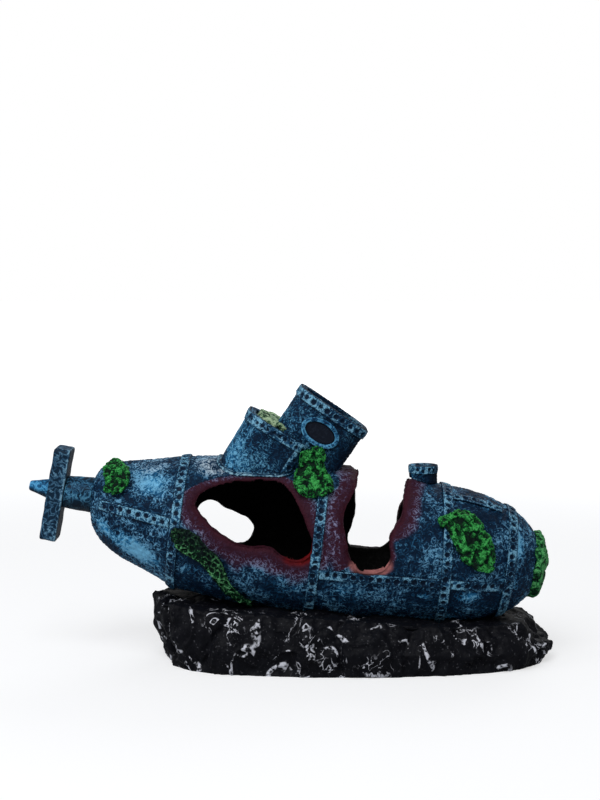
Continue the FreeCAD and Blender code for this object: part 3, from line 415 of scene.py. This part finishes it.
# %% Rock paint
rock_paint, tree, shader = finish_of("rock_paint", 0.55)
veins = place_group(tree, wrinkles, Grain=0.13, Twist=1.6, Line=0.030)
breaks = mask(tree, noise(tree, 0.085, 2.0), 0.55, 0.62)
fray = mask(tree, noise(tree, 0.7, 2.0), 0.36, 0.52)
vein = calc(tree, "MULTIPLY", calc(tree, "MULTIPLY", mask(tree, veins["Crest"], 0.2, 0.6), breaks), fray)
smear = calc(tree, "MULTIPLY", mask(tree, read(tree, "crest"), 0.35, 0.6),
             mask(tree, noise(tree, 0.5, 3.0), 0.38, 0.50))
dust = calc(tree, "MULTIPLY", mask(tree, noise(tree, 1.3, 3.0), 0.62, 0.74), 0.10)
light = calc(tree, "MAXIMUM", calc(tree, "MAXIMUM", vein, calc(tree, "MULTIPLY", smear, fray)), dust)
stone = mix(tree, noise(tree, 0.2, 3.0), rgb(0.0022, 0.0026, 0.0048), rgb(0.0055, 0.0060, 0.0090))
tree.links.new(mix(tree, light, stone, rgb(0.66, 0.68, 0.76)), shader.inputs["Base Color"])
tree.links.new(mask(tree, light, -1.7, 1.6), shader.inputs["Roughness"])
roughen(tree, shader, noise(tree, 0.9, 4.0), 0.35)
print("rock paint:", len(tree.nodes), "nodes")

# %% [markdown]
# The air fitting is black moulded tube with a fine matt grain, the grommet is softer rubber, and the air stone is
# bonded grit. All three are one colour with a grain, so one short function makes them.

# %% Small finishes
def moulded(name, colour, roughness, grain):
    """Plastic or rubber with a fine grain."""
    material, tree, shader = finish_of(name, roughness)
    grains = noise(tree, grain, 2.0)
    darker = tuple(0.6 * share for share in colour[:3]) + (1.0,)
    tree.links.new(mix(tree, grains, darker, colour), shader.inputs["Base Color"])
    roughen(tree, shader, grains, 0.05)
    return material


tube_black = moulded("tube_black", rgb(0.035, 0.035, 0.04), 0.4, 3.0)
seal_rubber = moulded("seal_rubber", rgb(0.02, 0.02, 0.02), 0.7, 5.0)
stone_grit = moulded("stone_grit", rgb(0.26, 0.30, 0.36), 0.9, 2.0)
print("small finishes:", tube_black.name, seal_rubber.name, stone_grit.name)

# %% [markdown]
# The floor is a plain pale sweep that fades into the white behind it. It glows a little, more the further away it is,
# and only to the eye, so it looks evenly white without throwing light up at the ornament.

# %% Floor
FLOOR_REACH = 4.0
FLOOR_GLOW, FAR_GLOW = 0.57, 0.5
floor_white, tree, shader = finish_of("floor_white", 0.9)
shader.inputs["Base Color"].default_value = rgb(0.50, 0.51, 0.53)
shader.inputs["Specular IOR Level"].default_value = 0.0
distance = add(tree, "ShaderNodeVectorMath", {0: add(tree, "ShaderNodeTexCoord").outputs["Object"]},
               operation="LENGTH").outputs["Value"]
brighter = calc(tree, "ADD", FLOOR_GLOW, calc(tree, "MULTIPLY", mask(tree, distance, 0.2, 0.9), FAR_GLOW))
to_eye = calc(tree, "MULTIPLY", brighter, add(tree, "ShaderNodeLightPath").outputs["Is Camera Ray"])
shader.inputs["Emission Color"].default_value = rgb(1, 1, 1)
tree.links.new(to_eye, shader.inputs["Emission Strength"])

floor_shape = bmesh.new()
bmesh.ops.create_grid(floor_shape, x_segments=8, y_segments=8, size=FLOOR_REACH)
floor = show(bpy.data.objects.new("floor", bpy.data.meshes.new("floor")))
floor_shape.to_mesh(floor.data)
floor_shape.free()
floor.location.z = cad_box[0].z
floor.data.materials.append(floor_white)
print("materials:", len(bpy.data.materials))

# %% [markdown]
# Sculpting needs even small faces, which a CAD mesh hasn't got. Subdividing it would keep its long thin triangles,
# so a voxel remesh of a copy is used instead.
# The copy rides on the node's body and stands for the node. Then its vertices are read as an array in millimetres,
# moved along their normals, and written back.

# %% Casting helpers
REPLACED = []


def cast(node, grain, paint, body="ornament"):
    """A copy of the node with even faces of that grain in millimetres."""
    piece = show(bpy.data.objects.new("cast_" + node, frame["nodes"][node].data.copy()))
    even = piece.modifiers.new("even", "REMESH")
    even.mode = "VOXEL"
    even.voxel_size = grain * MM
    shape = bpy.data.meshes.new_from_object(piece.evaluated_get(bpy.context.evaluated_depsgraph_get()))
    piece.modifiers.clear()
    piece.data = shape
    shape.materials.clear()
    shape.materials.append(paint)
    shape.shade_smooth()
    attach(piece, body)
    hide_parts(node)
    REPLACED.append(node)
    return piece


def points_of(mesh):
    """Places of the vertices in millimetres."""
    flat = np.empty(len(mesh.vertices) * 3)
    mesh.vertices.foreach_get("co", flat)
    return flat.reshape(-1, 3) / MM


def normals_of(mesh):
    """Directions out of the surface at the vertices."""
    flat = np.empty(len(mesh.vertices) * 3)
    mesh.vertices.foreach_get("normal", flat)
    return flat.reshape(-1, 3)


def skin_of(piece):
    """The piece's places in millimetres and its normals."""
    return points_of(piece.data), normals_of(piece.data)


def reshape(piece, points):
    """The piece with its vertices moved to those places."""
    piece.data.vertices.foreach_set("co", (points * MM).ravel())
    piece.data.update()


def paint_mask(piece, name, values):
    """A 0 to 1 mask on the vertices, which a material reads by its name."""
    layer = piece.data.attributes.new(name, "FLOAT", "POINT")
    layer.data.foreach_set("value", np.clip(values, 0, 1).astype(np.float32))


def smooth(value, low, high):
    """0 at low and 1 at high, smooth between them."""
    share = np.clip((value - low) / (high - low), 0, 1)
    return share * share * (3 - 2 * share)


print("nodes to cast or finish:", len(frame["nodes"]))

# %% [markdown]
# Two kinds of seeded noise shape everything. Ripple is gradient noise, for waves, and worms draws wrinkles from it.
# Pebbles gives how far a point is from the nearest scattered seed and from the next, for lumps and broken facets.
# Stirred moves the points by ripples first, so that a pattern bends. The seed is fixed, so every run is the same.

# %% Seeded noise
dice = np.random.default_rng(23)
TABLE = dice.permutation(256)
SLOPES = dice.normal(size=(256, 3))
SLOPES /= np.linalg.norm(SLOPES, axis=1, keepdims=True)
SEEDS = dice.random((256, 3))


def lot(cell):
    """A number from 0 to 255 that belongs to a cell of space."""
    x, y, z = (cell & 255).T
    return TABLE[(TABLE[(TABLE[x] + y) & 255] + z) & 255]


def ripple(points, size):
    """Noise of about -1 to 1 whose lumps are that many millimetres apart."""
    scaled = points / size
    cell = np.floor(scaled).astype(int)
    part = scaled - cell
    ease = part ** 3 * (part * (part * 6 - 15) + 10)
    total = np.zeros(len(points))
    for corner in itertools.product((0, 1), repeat=3):
        slope = SLOPES[lot(cell + corner)]
        share = np.prod(np.where(np.array(corner) == 1, ease, 1 - ease), axis=1)
        total += share * ((part - corner) * slope).sum(1)
    return total * 1.7


def stirred(points, reach, size, shifts):
    """The points moved up to about that reach by ripples of that size. The shifts pick which ripples."""
    return points + reach * np.stack([ripple(points + shift, size) for shift in shifts], axis=1)


def worms(points, size):
    """1 on winding crests, 0 in the hollows between them."""
    bent = stirred(points, 0.35 * size, size, (11.3, 47.9, 83.1))
    return np.clip(1 - 2.6 * np.abs(ripple(bent, size)), 0, 1)


def pebbles(points, size):
    """Distance to the nearest seed and to the second nearest, in cells."""
    scaled = points / size
    cell = np.floor(scaled).astype(int)
    nearest = np.full(len(points), 9.0)
    second = nearest.copy()
    for step in itertools.product((-1, 0, 1), repeat=3):
        seed = cell + step
        gap = np.linalg.norm(seed + SEEDS[lot(seed)] - scaled, axis=1)
        second = np.minimum(second, np.maximum(nearest, gap))
        nearest = np.minimum(nearest, gap)
    return nearest, second


print("noise table:", len(TABLE), "cells")

# %% [markdown]
# Straps, rivets and paint follow the hull, which leans. So the hull's own axes are found from the frame:
# the air stone lifts square to the hull, and the stern hoop goes round the hull's axis.

# %% The hull's axes
LIFT = Vector(frame["joints"][0]["axis"]).normalized()
HULL_AXES = np.array([[LIFT.z, 0, -LIFT.x], [0, 1, 0], [LIFT.x, 0, LIFT.z]])
hoop_points = points_of(frame["nodes"]["stern_hoop"].data) @ HULL_AXES.T
hoop_radius = np.ptp(hoop_points[:, 1]) / 2
HULL_ROOT = np.array([hoop_points[:, 0].mean(), 0, hoop_points[:, 2].max() - hoop_radius])


def on_hull(points):
    """Along the hull from the stern hoop, to port, and up from its axis, in millimetres."""
    return points @ HULL_AXES.T - HULL_ROOT


print("hull axis passes", HULL_ROOT.round(2), "hoop radius", round(hoop_radius, 2))

# %% [markdown]
# Paint wears at edges, and the dark red follows the openings, so many masks need the distance to an edge. The CAD
# mesh knows its sharp edges exactly, so points are laid along those, and a search tree finds the nearest one fast.

# %% Distances to edges
def sharp_edges(node, least=35.0, gap=0.4):
    """Points along the node's sharp edges, in millimetres."""
    shape = bmesh.new()
    shape.from_mesh(frame["nodes"][node].data)
    bmesh.ops.remove_doubles(shape, verts=shape.verts, dist=MM / 1000)
    found = []
    for edge in shape.edges:
        if len(edge.link_faces) == 2 and edge.calc_face_angle(0.0) > math.radians(least):
            start, end = (np.array(v.co) / MM for v in edge.verts)
            count = max(1, int(np.linalg.norm(end - start) / gap))
            found += [start + (end - start) * step / count for step in range(count + 1)]
    shape.free()
    return np.array(found)


def nearest_of(points, targets):
    """For each point, the distance to the nearest target and that target."""
    tree = kdtree.KDTree(len(targets))
    for number, target in enumerate(targets):
        tree.insert(target, number)
    tree.balance()
    found = [tree.find(point) for point in points]
    return np.array([hit[2] for hit in found]), targets[[hit[1] for hit in found]]


print("sharp edge points of the middle hull:", len(sharp_edges("hull_midship")))

# %% [markdown]
# The hull is lighter in some places than in others: partly where the brush left sky blue, and partly painted light
# on the lower stern, which faces down. Those places are listed as soft ovals, in millimetres seen from the side. A
# painted image would have to be fitted to the hull, and a list of ovals is easy to change.
# The edges of the window and the breach are found from the CAD.

# %% Light patches and openings
# the glow ovals hold both the sky-blue brushing and the painted light of the lower stern
GLOWS = (  # place along X and Z, half-widths, turn in degrees, strength
    (-50.5, 39.0, 12.0, 4.0, -34, 1.1), (-60.0, 45.5, 5.0, 3.0, -50, 0.8), (-43.5, 60.0, 7.0, 5.5, 0, 0.68),
    (-49.0, 62.0, 4.0, 3.0, 0, 0.45), (-31.0, 33.0, 4.0, 3.5, 0, 0.45), (-2.5, 27.0, 7.5, 5.0, 0, 0.35),
    (17.0, 26.0, 9.0, 4.5, 0, 0.35), (38.0, 42.0, 4.0, 4.0, 0, 0.40), (41.5, 24.5, 3.0, 1.2, 0, 0.8),
    (48.0, 16.0, 9.0, 2.0, 5, 0.75), (56.5, 24.5, 7.0, 3.0, 0, 0.60), (72.5, 41.0, 2.6, 7.5, 14, 0.9),
    (69.5, 28.0, 4.0, 6.0, -20, 0.65), (64.0, 52.0, 3.5, 4.0, 0, 0.35))
CHALKS = ((-23.5, 64.5, 9.5, 3.2, -4, 1.0), (-44.0, 64.0, 10.0, 4.0, 4, 0.45), (62.0, 59.5, 8.0, 2.0, -25, 0.6),
          (48.0, 59.6, 3.4, 1.1, -58, 1.3), (52.5, 57.2, 3.0, 0.8, -8, 1.0),
          (-41.0, 50.0, 9.0, 9.0, 0, 0.15), (33.0, 52.0, 5.0, 8.0, 0, 0.12))


def spots(points, table):
    """How much of any soft oval spot covers each point, seen from either side."""
    cover = np.zeros(len(points))
    for x, z, wide, tall, turn, strength in table:
        angle = math.radians(turn)
        dx, dz = points[:, 0] - x, points[:, 2] - z
        along = (dx * math.cos(angle) + dz * math.sin(angle)) / wide
        across = (dz * math.cos(angle) - dx * math.sin(angle)) / tall
        cover = np.maximum(cover, strength * np.clip(1.15 - np.hypot(along, across), 0, 1))
    return smooth(cover + 0.16 * ripple(points, 4.0) * (cover > 0.02), 0.05, 0.85)


END_MARGIN = 1.2  # leaves out the edges at the hull's two ends
SKIN_DEPTH = 3.4  # leaves out the edges inside the wall


def opening_rims():
    """Points on the outer edges of the window and the breach."""
    rims = sharp_edges("hull_midship")
    local = on_hull(rims)
    skin = np.hypot(local[:, 1], local[:, 2])
    inner = (local[:, 0] > END_MARGIN) & (local[:, 0] < local[:, 0].max() - END_MARGIN)
    return rims[inner & (skin > hoop_radius - SKIN_DEPTH)]


RIMS = opening_rims()
print("opening rim points:", len(RIMS))

# %% [markdown]
# The hull is a hollow casting. Its outside has a fine mat of wrinkles over a slow waviness, and the cut edges of the
# window and the breach are chipped and bevelled. The dark red was sprayed round the openings. It fades within about
# 8 mm beside and below them, but climbs only about 2 mm above them. Beyond the breach's stern side it is narrower:
# about 1.4 mm at the floor and about 6 mm up the bow side.
# Real vertices are moved, because a bump would leave the outline and the cut edges smooth.

# %% Hull
BEVEL = 1.7  # width of the sloped cut edge in millimetres
HOTS = ((3.5, 38.6, 7.5, 4.6, 12, 1.4),)  # bright red stretch of the window's lip, listed as the ovals above are
SALMONS = ((25.5, 34.5, 8.5, 3.6, -3, 1.4),)  # salmon stretch of the breach's lip
BOW_ROUNDING = 92  # along the hull from the stern hoop, where the bow starts to round
BREACH_FLOOR = 57.0  # along the hull, beyond it lie the breach's floor and bow side
SCRATCHES = (43.5, 46.5, 52.0, 57.0)  # along the hull, where the streaks begin, are full, start to fade and end


def radial_world(radial):
    """Directions out of the hull's axis, turned back to the frame's axes."""
    return radial @ HULL_AXES


def weather_hull(node, grain):
    """A length of hull with wrinkles, chipped and bevelled openings, and its paint masks."""
    piece = cast(node, grain, hull_paint)
    points, normals = skin_of(piece)
    local, facing = on_hull(points), normals @ HULL_AXES.T
    radial = local.copy()
    radial[:, 0] = np.where(local[:, 0] < 0, 0.35 * local[:, 0], np.maximum(local[:, 0] - BOW_ROUNDING, 0) * 2.0)
    radial /= np.linalg.norm(radial, axis=1, keepdims=True) + 1e-9
    outward = (facing * radial).sum(1)
    outside = smooth(outward, 0.15, 0.6)
    gap, rim = nearest_of(points, RIMS)
    above = (local[:, 2] - on_hull(rim)[:, 2]) / (gap + 1e-6)
    rim_at = on_hull(rim)
    spread = 8.0 - 6.0 * smooth(above, 0.2, 0.9) + 2.6 * ripple(points, 6.0)
    narrow = 1.4 + 5.0 * smooth(rim_at[:, 2], 5.0, 11.0) + ripple(points, 4.0)
    spread = np.where(rim_at[:, 0] > BREACH_FLOOR, narrow, spread)
    raw = np.clip(1 - gap / np.maximum(spread, 0.8), 0, 1) ** 0.6
    cut = smooth(outward, 0.55, 0.2) * smooth(gap, 4.4, 3.2)
    mat = worms(points, 1.9)
    relief = outside * (0.30 * mat + 0.10 * ripple(points, 0.9) + 0.22 * ripple(points, 9.0)) * (1 - 0.6 * raw)
    relief += 0.35 * ripple(points, 3.2) * smooth(gap, 5.0, 0.5)
    near = local[:, 1] < 0
    hot, salmon = spots(points, HOTS) * near, spots(points, SALMONS) * near
    # below the lip the wall rises inwards, so that its red and salmon floor shows
    sunk = np.hypot(rim_at[:, 1], rim_at[:, 2]) - np.hypot(local[:, 1], local[:, 2])
    lift = smooth(sunk, 0.2, 3.4) * smooth(gap, 9.5, 4.5) * (3.4 * salmon + 2.6 * hot)
    band = BEVEL * (1 + 0.7 * hot + 0.9 * salmon) + 0.5 * ripple(points, 5.0)
    bevel = np.clip(1 - gap / band, 0, 1) * outside
    shifted = points + normals * (relief - 0.15 * outside)[:, None] - radial_world(radial) * bevel[:, None]
    shifted[:, 2] += lift
    reshape(piece, shifted)
    lip = np.maximum(cut, smooth(gap, band, 0.4 * band) * outside)
    paint_mask(piece, "worn", outside * mat)
    paint_mask(piece, "raw", np.maximum(raw * smooth(outward, -0.1, 0.2), cut))
    paint_mask(piece, "lip", (0.65 + 0.35 * np.maximum(hot, salmon)) * lip)
    paint_mask(piece, "hot", hot * (0.85 + 0.4 * ripple(points, 3.0)))
    paint_mask(piece, "salmon", salmon * (0.85 + 0.4 * ripple(points, 3.0)))
    begin, full, fading, end = SCRATCHES
    paint_mask(piece, "scratch", smooth(local[:, 0], begin, full) * smooth(local[:, 0], end, fading))
    paint_mask(piece, "inside_and_shade", smooth(outward, 0.02, -0.35) * smooth(lift, 1.2, 0.1))
    # sky-blue brushing, with painted light on the lower stern
    paint_mask(piece, "glow", spots(points, GLOWS) * (1 - raw))
    paint_mask(piece, "chalk", spots(points, CHALKS) * (1 - raw))
    print(piece.name, len(points), "vertices")


weather_hull("hull_midship", 0.5)
weather_hull("hull_stern", 0.45)
weather_hull("hull_bow", 0.45)

# %% [markdown]
# Straps bend round the hull, so a rivet row has to be measured along the strap and not along an axis.
# A ring-shaped strap is laid out by the angle round its own middle, a run by its length along the hull, and a flat
# strip by its own longest direction. Each layout gives the way along, the way across and the way out.

# %% Strap layouts
def ring_layout(points):
    """Run round a ring, offset across it and the way out of it, from the ring's best plane."""
    middle = points.mean(0)
    axes = np.linalg.eigh(np.cov((points - middle).T))[1].T[::-1]
    flat = (points - middle) @ axes.T
    angle = np.arctan2(flat[:, 1], flat[:, 0])
    reach = np.hypot(flat[:, 0], flat[:, 1])
    marks = np.linspace(-math.pi, math.pi, 181)
    slice_of = np.digitize(angle, marks)
    filled = [number for number in range(1, 181) if (slice_of == number).any()]
    outline = np.interp(marks, [marks[n - 1] for n in filled], [reach[slice_of == n].mean() for n in filled])
    corners = np.stack([outline * np.cos(marks), outline * np.sin(marks)], axis=1)
    lengths = np.concatenate([[0], np.cumsum(np.linalg.norm(np.diff(corners, axis=0), axis=1))])
    way_out = (flat[:, :1] * axes[0] + flat[:, 1:2] * axes[1]) / reach[:, None]
    across = flat[:, 2] - (flat[:, 2].min() + flat[:, 2].max()) / 2
    return np.interp(angle, marks, lengths), across, way_out


def run_layout(points):
    """Run along the hull, offset across the strap and the way out of the hull."""
    local = on_hull(points)
    reach = np.hypot(local[:, 1], local[:, 2])
    angle = np.arctan2(np.abs(local[:, 1]), local[:, 2])
    middle = np.polyval(np.polyfit(local[:, 0], angle, 1), local[:, 0])
    out = np.stack([np.zeros(len(points)), local[:, 1] / reach, local[:, 2] / reach], axis=1)
    return local[:, 0] + 60, (angle - middle) * reach, out @ HULL_AXES


def strip_layout(points):
    """Run down a flat strip, offset across it and the way out to its side."""
    middle = points.mean(0)
    axes = np.linalg.eigh(np.cov((points - middle).T))[1].T[::-1]
    flat = (points - middle) @ axes.T
    out = np.tile([0.0, np.sign(middle[1]), 0.0], (len(points), 1))
    return flat[:, 0] - flat[:, 0].min(), flat[:, 1] - (flat[:, 1].min() + flat[:, 1].max()) / 2, out


print("layouts ready: ring, run, strip")

# %% [markdown]
# Every strap carries a row of rivet hollows 1.75 mm wide and 2.8 mm apart, smaller on the lower tower and the vent.
# They could be cut one by one, but a fine mesh pressed in by a formula is quicker and keeps soft edges.
# Each hollow is shifted and sized a little by seeded chance, as they were pressed by hand in the master.

# %% Rivets
def rivet(node, layout, pitch=2.8, width=1.75, grain=0.28):
    """A strap with a row of hollows, that far apart and that wide in millimetres."""
    piece = cast(node, grain, strap_paint)
    points, normals = skin_of(piece)
    along, across, way_out = layout(points)
    faces_out = smooth((normals * way_out).sum(1), 0.45, 0.8)
    number = np.round(along / pitch).astype(int)
    chance = np.random.default_rng(len(node)).normal(size=(number.max() + 2, 3))[np.maximum(number, 0)]
    gap = np.hypot(along - number * pitch - 0.16 * chance[:, 0], across - 0.14 * chance[:, 1])
    reach = width / 2 * (1 + 0.09 * chance[:, 2])
    pit = smooth(gap, 1.06 * reach, 0.84 * reach) * faces_out
    ring = smooth(gap, reach * 1.5, reach * 1.2) * smooth(gap, 0.95 * reach, 1.08 * reach)
    half = np.percentile(np.abs(across), 96)
    off = np.abs(across) / half
    border = smooth(off, 0.66, 0.78) * smooth(off, 0.95, 0.88)
    relief = -0.42 * pit + 0.10 * faces_out * ripple(points, 1.6) + 0.12 * ring * faces_out
    reshape(piece, points + normals * relief[:, None])
    paint_mask(piece, "pit", pit)
    paint_mask(piece, "ring", ring * faces_out)
    paint_mask(piece, "border", border * faces_out)
    paint_mask(piece, "side", np.maximum(1 - faces_out, smooth(off, 0.90, 0.98)))


for hoop in ("stern_hoop", "midship_hoop", "bow_hoop", "nose_hoop"):
    rivet(hoop, ring_layout)
for side in ("starboard", "port"):
    for strap in ("side_strap", "stern_strap", "deck_strap"):
        rivet(f"{side}_{strap}", run_layout)
    rivet(side + "_corner_strap", strip_layout)
rivet("tower_upper_rim", ring_layout)
rivet("tower_lower_rim", ring_layout, pitch=2.1, width=1.2)
rivet("vent_band", ring_layout, pitch=2.2, width=1.1, grain=0.2)
print("straps with rivets:", sum(node.endswith(("hoop", "strap", "rim", "band")) for node in REPLACED))

# %% [markdown]
# The conning tower's two stages and the vent stub carry the same wrinkled skin as the hull, a little finer.
# Their stern sides are painted lighter and their bow sides darker, as painted light and shade, so the light mask
# fades across each.
# One function makes all three, because they differ only in the fineness of their mesh and in how far the light goes.

# %% Tower and vent
def weather_block(node, grain, light_side):
    """Painted light on the block's stern side, fading over the share light_side of its length, then painted shade."""
    piece = cast(node, grain, tower_paint)
    points, normals = skin_of(piece)
    gap, _ = nearest_of(points, sharp_edges(node))
    share = (points[:, 0] - points[:, 0].min()) / np.ptp(points[:, 0])
    mat = worms(points, 1.6)
    relief = 0.22 * mat + 0.08 * ripple(points, 0.8) + 0.15 * ripple(points, 7.0)
    reshape(piece, points + normals * (relief - 0.12)[:, None])
    # painted light on the stern side, and painted shade on the bow side and along the stern edge
    lit = smooth(share + 0.10 * ripple(points, 5.0), light_side, 0.3 * light_side) * smooth(share, 0.0, 0.09)
    unlit = np.maximum(smooth(share, 0.45, 0.75), smooth(share, 0.07, 0.02))
    paint_mask(piece, "worn", mat - 0.9 * unlit)
    paint_mask(piece, "glow", 0.52 * lit)
    paint_mask(piece, "chalk", 0.4 * smooth(gap, 0.9, 0.3))
    # painted shade: the bow side darkened towards black
    paint_mask(piece, "inside_and_shade", 0.45 * smooth(share, 0.55, 1.0))
    print(piece.name, len(points), "vertices")


weather_block("tower_lower", 0.35, 0.55)
weather_block("tower_upper", 0.35, 0.42)
weather_block("vent_stub", 0.3, 0.30)

# %% [markdown]
# The screw, its shaft and cone, the tower's flange and the portholes are plain castings with slightly uneven faces
# and rubbed edges. Their undersides, and the screw's face towards the bow, are darkened as painted shade.

# %% Screw, flange and portholes
def unshaded(points, normals):
    """No shade anywhere."""
    return np.zeros(len(points))


def brushed_piece(node, grain, paint, wear, shade=unshaded):
    """A plain painted piece with pale edges, worn that far in millimetres, and darker where shade says."""
    piece = cast(node, grain, paint)
    points, normals = skin_of(piece)
    gap, _ = nearest_of(points, sharp_edges(node))
    relief = 0.10 * ripple(points, 2.4) + 0.16 * ripple(points, 6.0) - 0.10 * smooth(gap, wear, 0.1)
    reshape(piece, points + normals * relief[:, None])
    paint_mask(piece, "edge", smooth(gap + 0.3 * ripple(points, 1.4), wear, 0.3 * wear))
    paint_mask(piece, "shade", shade(points, normals))
    print(piece.name, len(points), "vertices")


def from_below(points, normals):
    """Painted shade on the underside."""
    return 0.85 * smooth(normals[:, 2], 0.05, -0.6)


def from_bow(points, normals):
    """Painted shade on the face towards the bow."""
    return 0.80 * smooth(normals[:, 0], 0.35, 0.75)


brushed_piece("screw", 0.35, plain["screw_paint"], 0.9, from_bow)
brushed_piece("screw_cone", 0.25, plain["cone_paint"], 0.5, from_below)
brushed_piece("screw_shaft", 0.3, plain["shaft_paint"], 0.5, from_below)
brushed_piece("tower_flange", 0.25, plain["flange_paint"], 0.5, from_below)
for side in ("starboard", "port"):
    brushed_piece(side + "_porthole_ring", 0.22, plain["ring_paint"], 0.4)
    brushed_piece(side + "_porthole_pane", 0.3, pane_paint, 0.3)

# %% [markdown]
# The real moss is a crust of round lumps about 2 mm wide with deep gaps. Thousands of little balls would be heavy, so
# ripples raise the lumps and open the gaps, and scattered seeds divide them. Each patch has its own lump size.
# The side and port patches are an open net of cells instead, where only the walls between the seeds stand up.

# %% Moss
MOSS_GRAIN = 0.32


def grow(node, paint, size, height, net=False, shade=unshaded, sink=0.0):
    """A moss patch of lumps that size and height, sunk by that much, or an open net of cells."""
    piece = cast(node, MOSS_GRAIN, paint)
    points, normals = skin_of(piece)
    bent = stirred(points, 0.25 * size, 1.3 * size, (5.0, 31.0, 67.0))
    nearest, second = pebbles(bent, size)
    wall = smooth(second - nearest, 0.0, 0.30)
    blob = smooth(0.6 * ripple(bent, 1.1 * size) + 0.5 * ripple(bent + 13.0, 0.55 * size), -0.34, 0.12)
    lump = 1 - wall if net else 0.15 + 0.85 * blob * (0.72 + 0.28 * wall)
    holes = smooth(ripple(points, 1.5 * size), 0.22, 0.48)
    lump = lump * (1 - (0.45 if net else 0.0) * holes)
    relief = height * (lump - 0.6) - sink + 0.12 * ripple(points, 0.9) + 0.8 * ripple(points, 3.6)
    reshape(piece, points + normals * relief[:, None])
    paint_mask(piece, "lump", lump)
    paint_mask(piece, "shade", shade(points, normals))
    print(piece.name, len(points), "vertices")


def fades_up(points, normals):
    """Black-green towards the patch's upper bow corner."""
    local = on_hull(points)
    share = (local - local.min(0)) / np.ptp(local, axis=0)
    return 0.9 * smooth(share[:, 0] * 0.5 + share[:, 2] * 0.9 + 0.12 * ripple(points, 4.0), 0.62, 0.95)


grow("moss_bow", moss_fresh, 2.7, 0.9)
grow("moss_tower", moss_fresh, 2.0, 0.8)
grow("moss_stern", moss_fresh, 2.0, 0.8)
grow("moss_deck", moss_pale, 2.2, 0.4)
grow("moss_nose", moss_nose, 2.6, 0.6)
grow("moss_side", moss_dark, 1.9, 0.6, net=True, shade=fades_up, sink=0.7)
grow("moss_port", moss_dark, 1.9, 0.6, net=True, shade=fades_up, sink=0.7)

# %% [markdown]
# The rock is like broken slate: upright lobes with flat facets and sharp crests. Its big forms come from pebbles
# stretched upwards in three sizes, its small ones from ripples, and winding ridges carry the white smears.
# Numbers added to the places only pick another part of the noise. The foot stays flat on the floor.

# %% Rock
rock = cast("rock_base", 0.6, rock_paint)
points, normals = skin_of(rock)
upright = points * np.array([1.0, 1.0, 0.5])
bent = stirred(upright, 2.2, 8.0, (3.0, 29.0, 71.0))
near_lobe, next_lobe = pebbles(bent + 17.0, 17.0)
near_big, _ = pebbles(bent, 7.5)
near_small, _ = pebbles(bent + 40.0, 3.4)
relief = 3.4 * (0.42 - near_lobe) + 2.4 * (0.5 - near_big) + 1.0 * (0.5 - near_small)
relief += -1.1 * smooth(next_lobe - near_lobe, 0.16, 0.0) + 0.6 * ripple(points, 4.0) + 0.25 * ripple(points, 1.4)
wide_ridge = smooth(np.abs(ripple(bent, 11.0)), 0.11, 0.0)
fine_ridge = smooth(np.abs(ripple(bent + 60.0, 6.5)), 0.10, 0.0)
ridge = np.maximum(wide_ridge, 0.8 * fine_ridge)
relief += 0.9 * ridge
steep = smooth(np.abs(normals[:, 2]), 0.98, 0.7)
foot = smooth(points[:, 2], 0.2, 2.5)
shifted = points + normals * (relief * (0.45 + 0.55 * steep) * (0.55 + 0.45 * foot))[:, None]
shifted[:, 2] = np.where(points[:, 2] < 0.4, points[:, 2], shifted[:, 2])
shifted[:, 2] = np.maximum(shifted[:, 2], 0.0)
reshape(rock, shifted)
dabbed = smooth(ripple(points, 9.0) + 0.4 * ripple(points, 3.5), 0.05, 0.30)
paint_mask(rock, "crest", ridge * dabbed * smooth(normals[:, 2], 0.95, 0.6))
print("rock:", len(points), "vertices")

# %% [markdown]
# The air fitting is hidden behind the rock and in the hull. Its tubes are right as the CAD has them, so they only get
# their finish. The stone that makes the bubbles is bonded grit, so its skin is broken up.

# %% Air fitting
FITTINGS = {"air_riser": tube_black, "air_elbow": tube_black, "air_spigot": tube_black, "riser_grommet": seal_rubber}
for node, finish in FITTINGS.items():
    frame["nodes"][node].data.materials.clear()
    frame["nodes"][node].data.materials.append(finish)
grit_piece = cast("air_stone", 0.3, stone_grit, "loose_stone")
points, normals = skin_of(grit_piece)
nearest, _ = pebbles(points, 1.1)
reshape(grit_piece, points + normals * (0.30 * (0.45 - nearest))[:, None])

left_over = sorted(set(frame["nodes"]) - set(REPLACED) - set(FITTINGS))
print("nodes without a finish:", left_over)
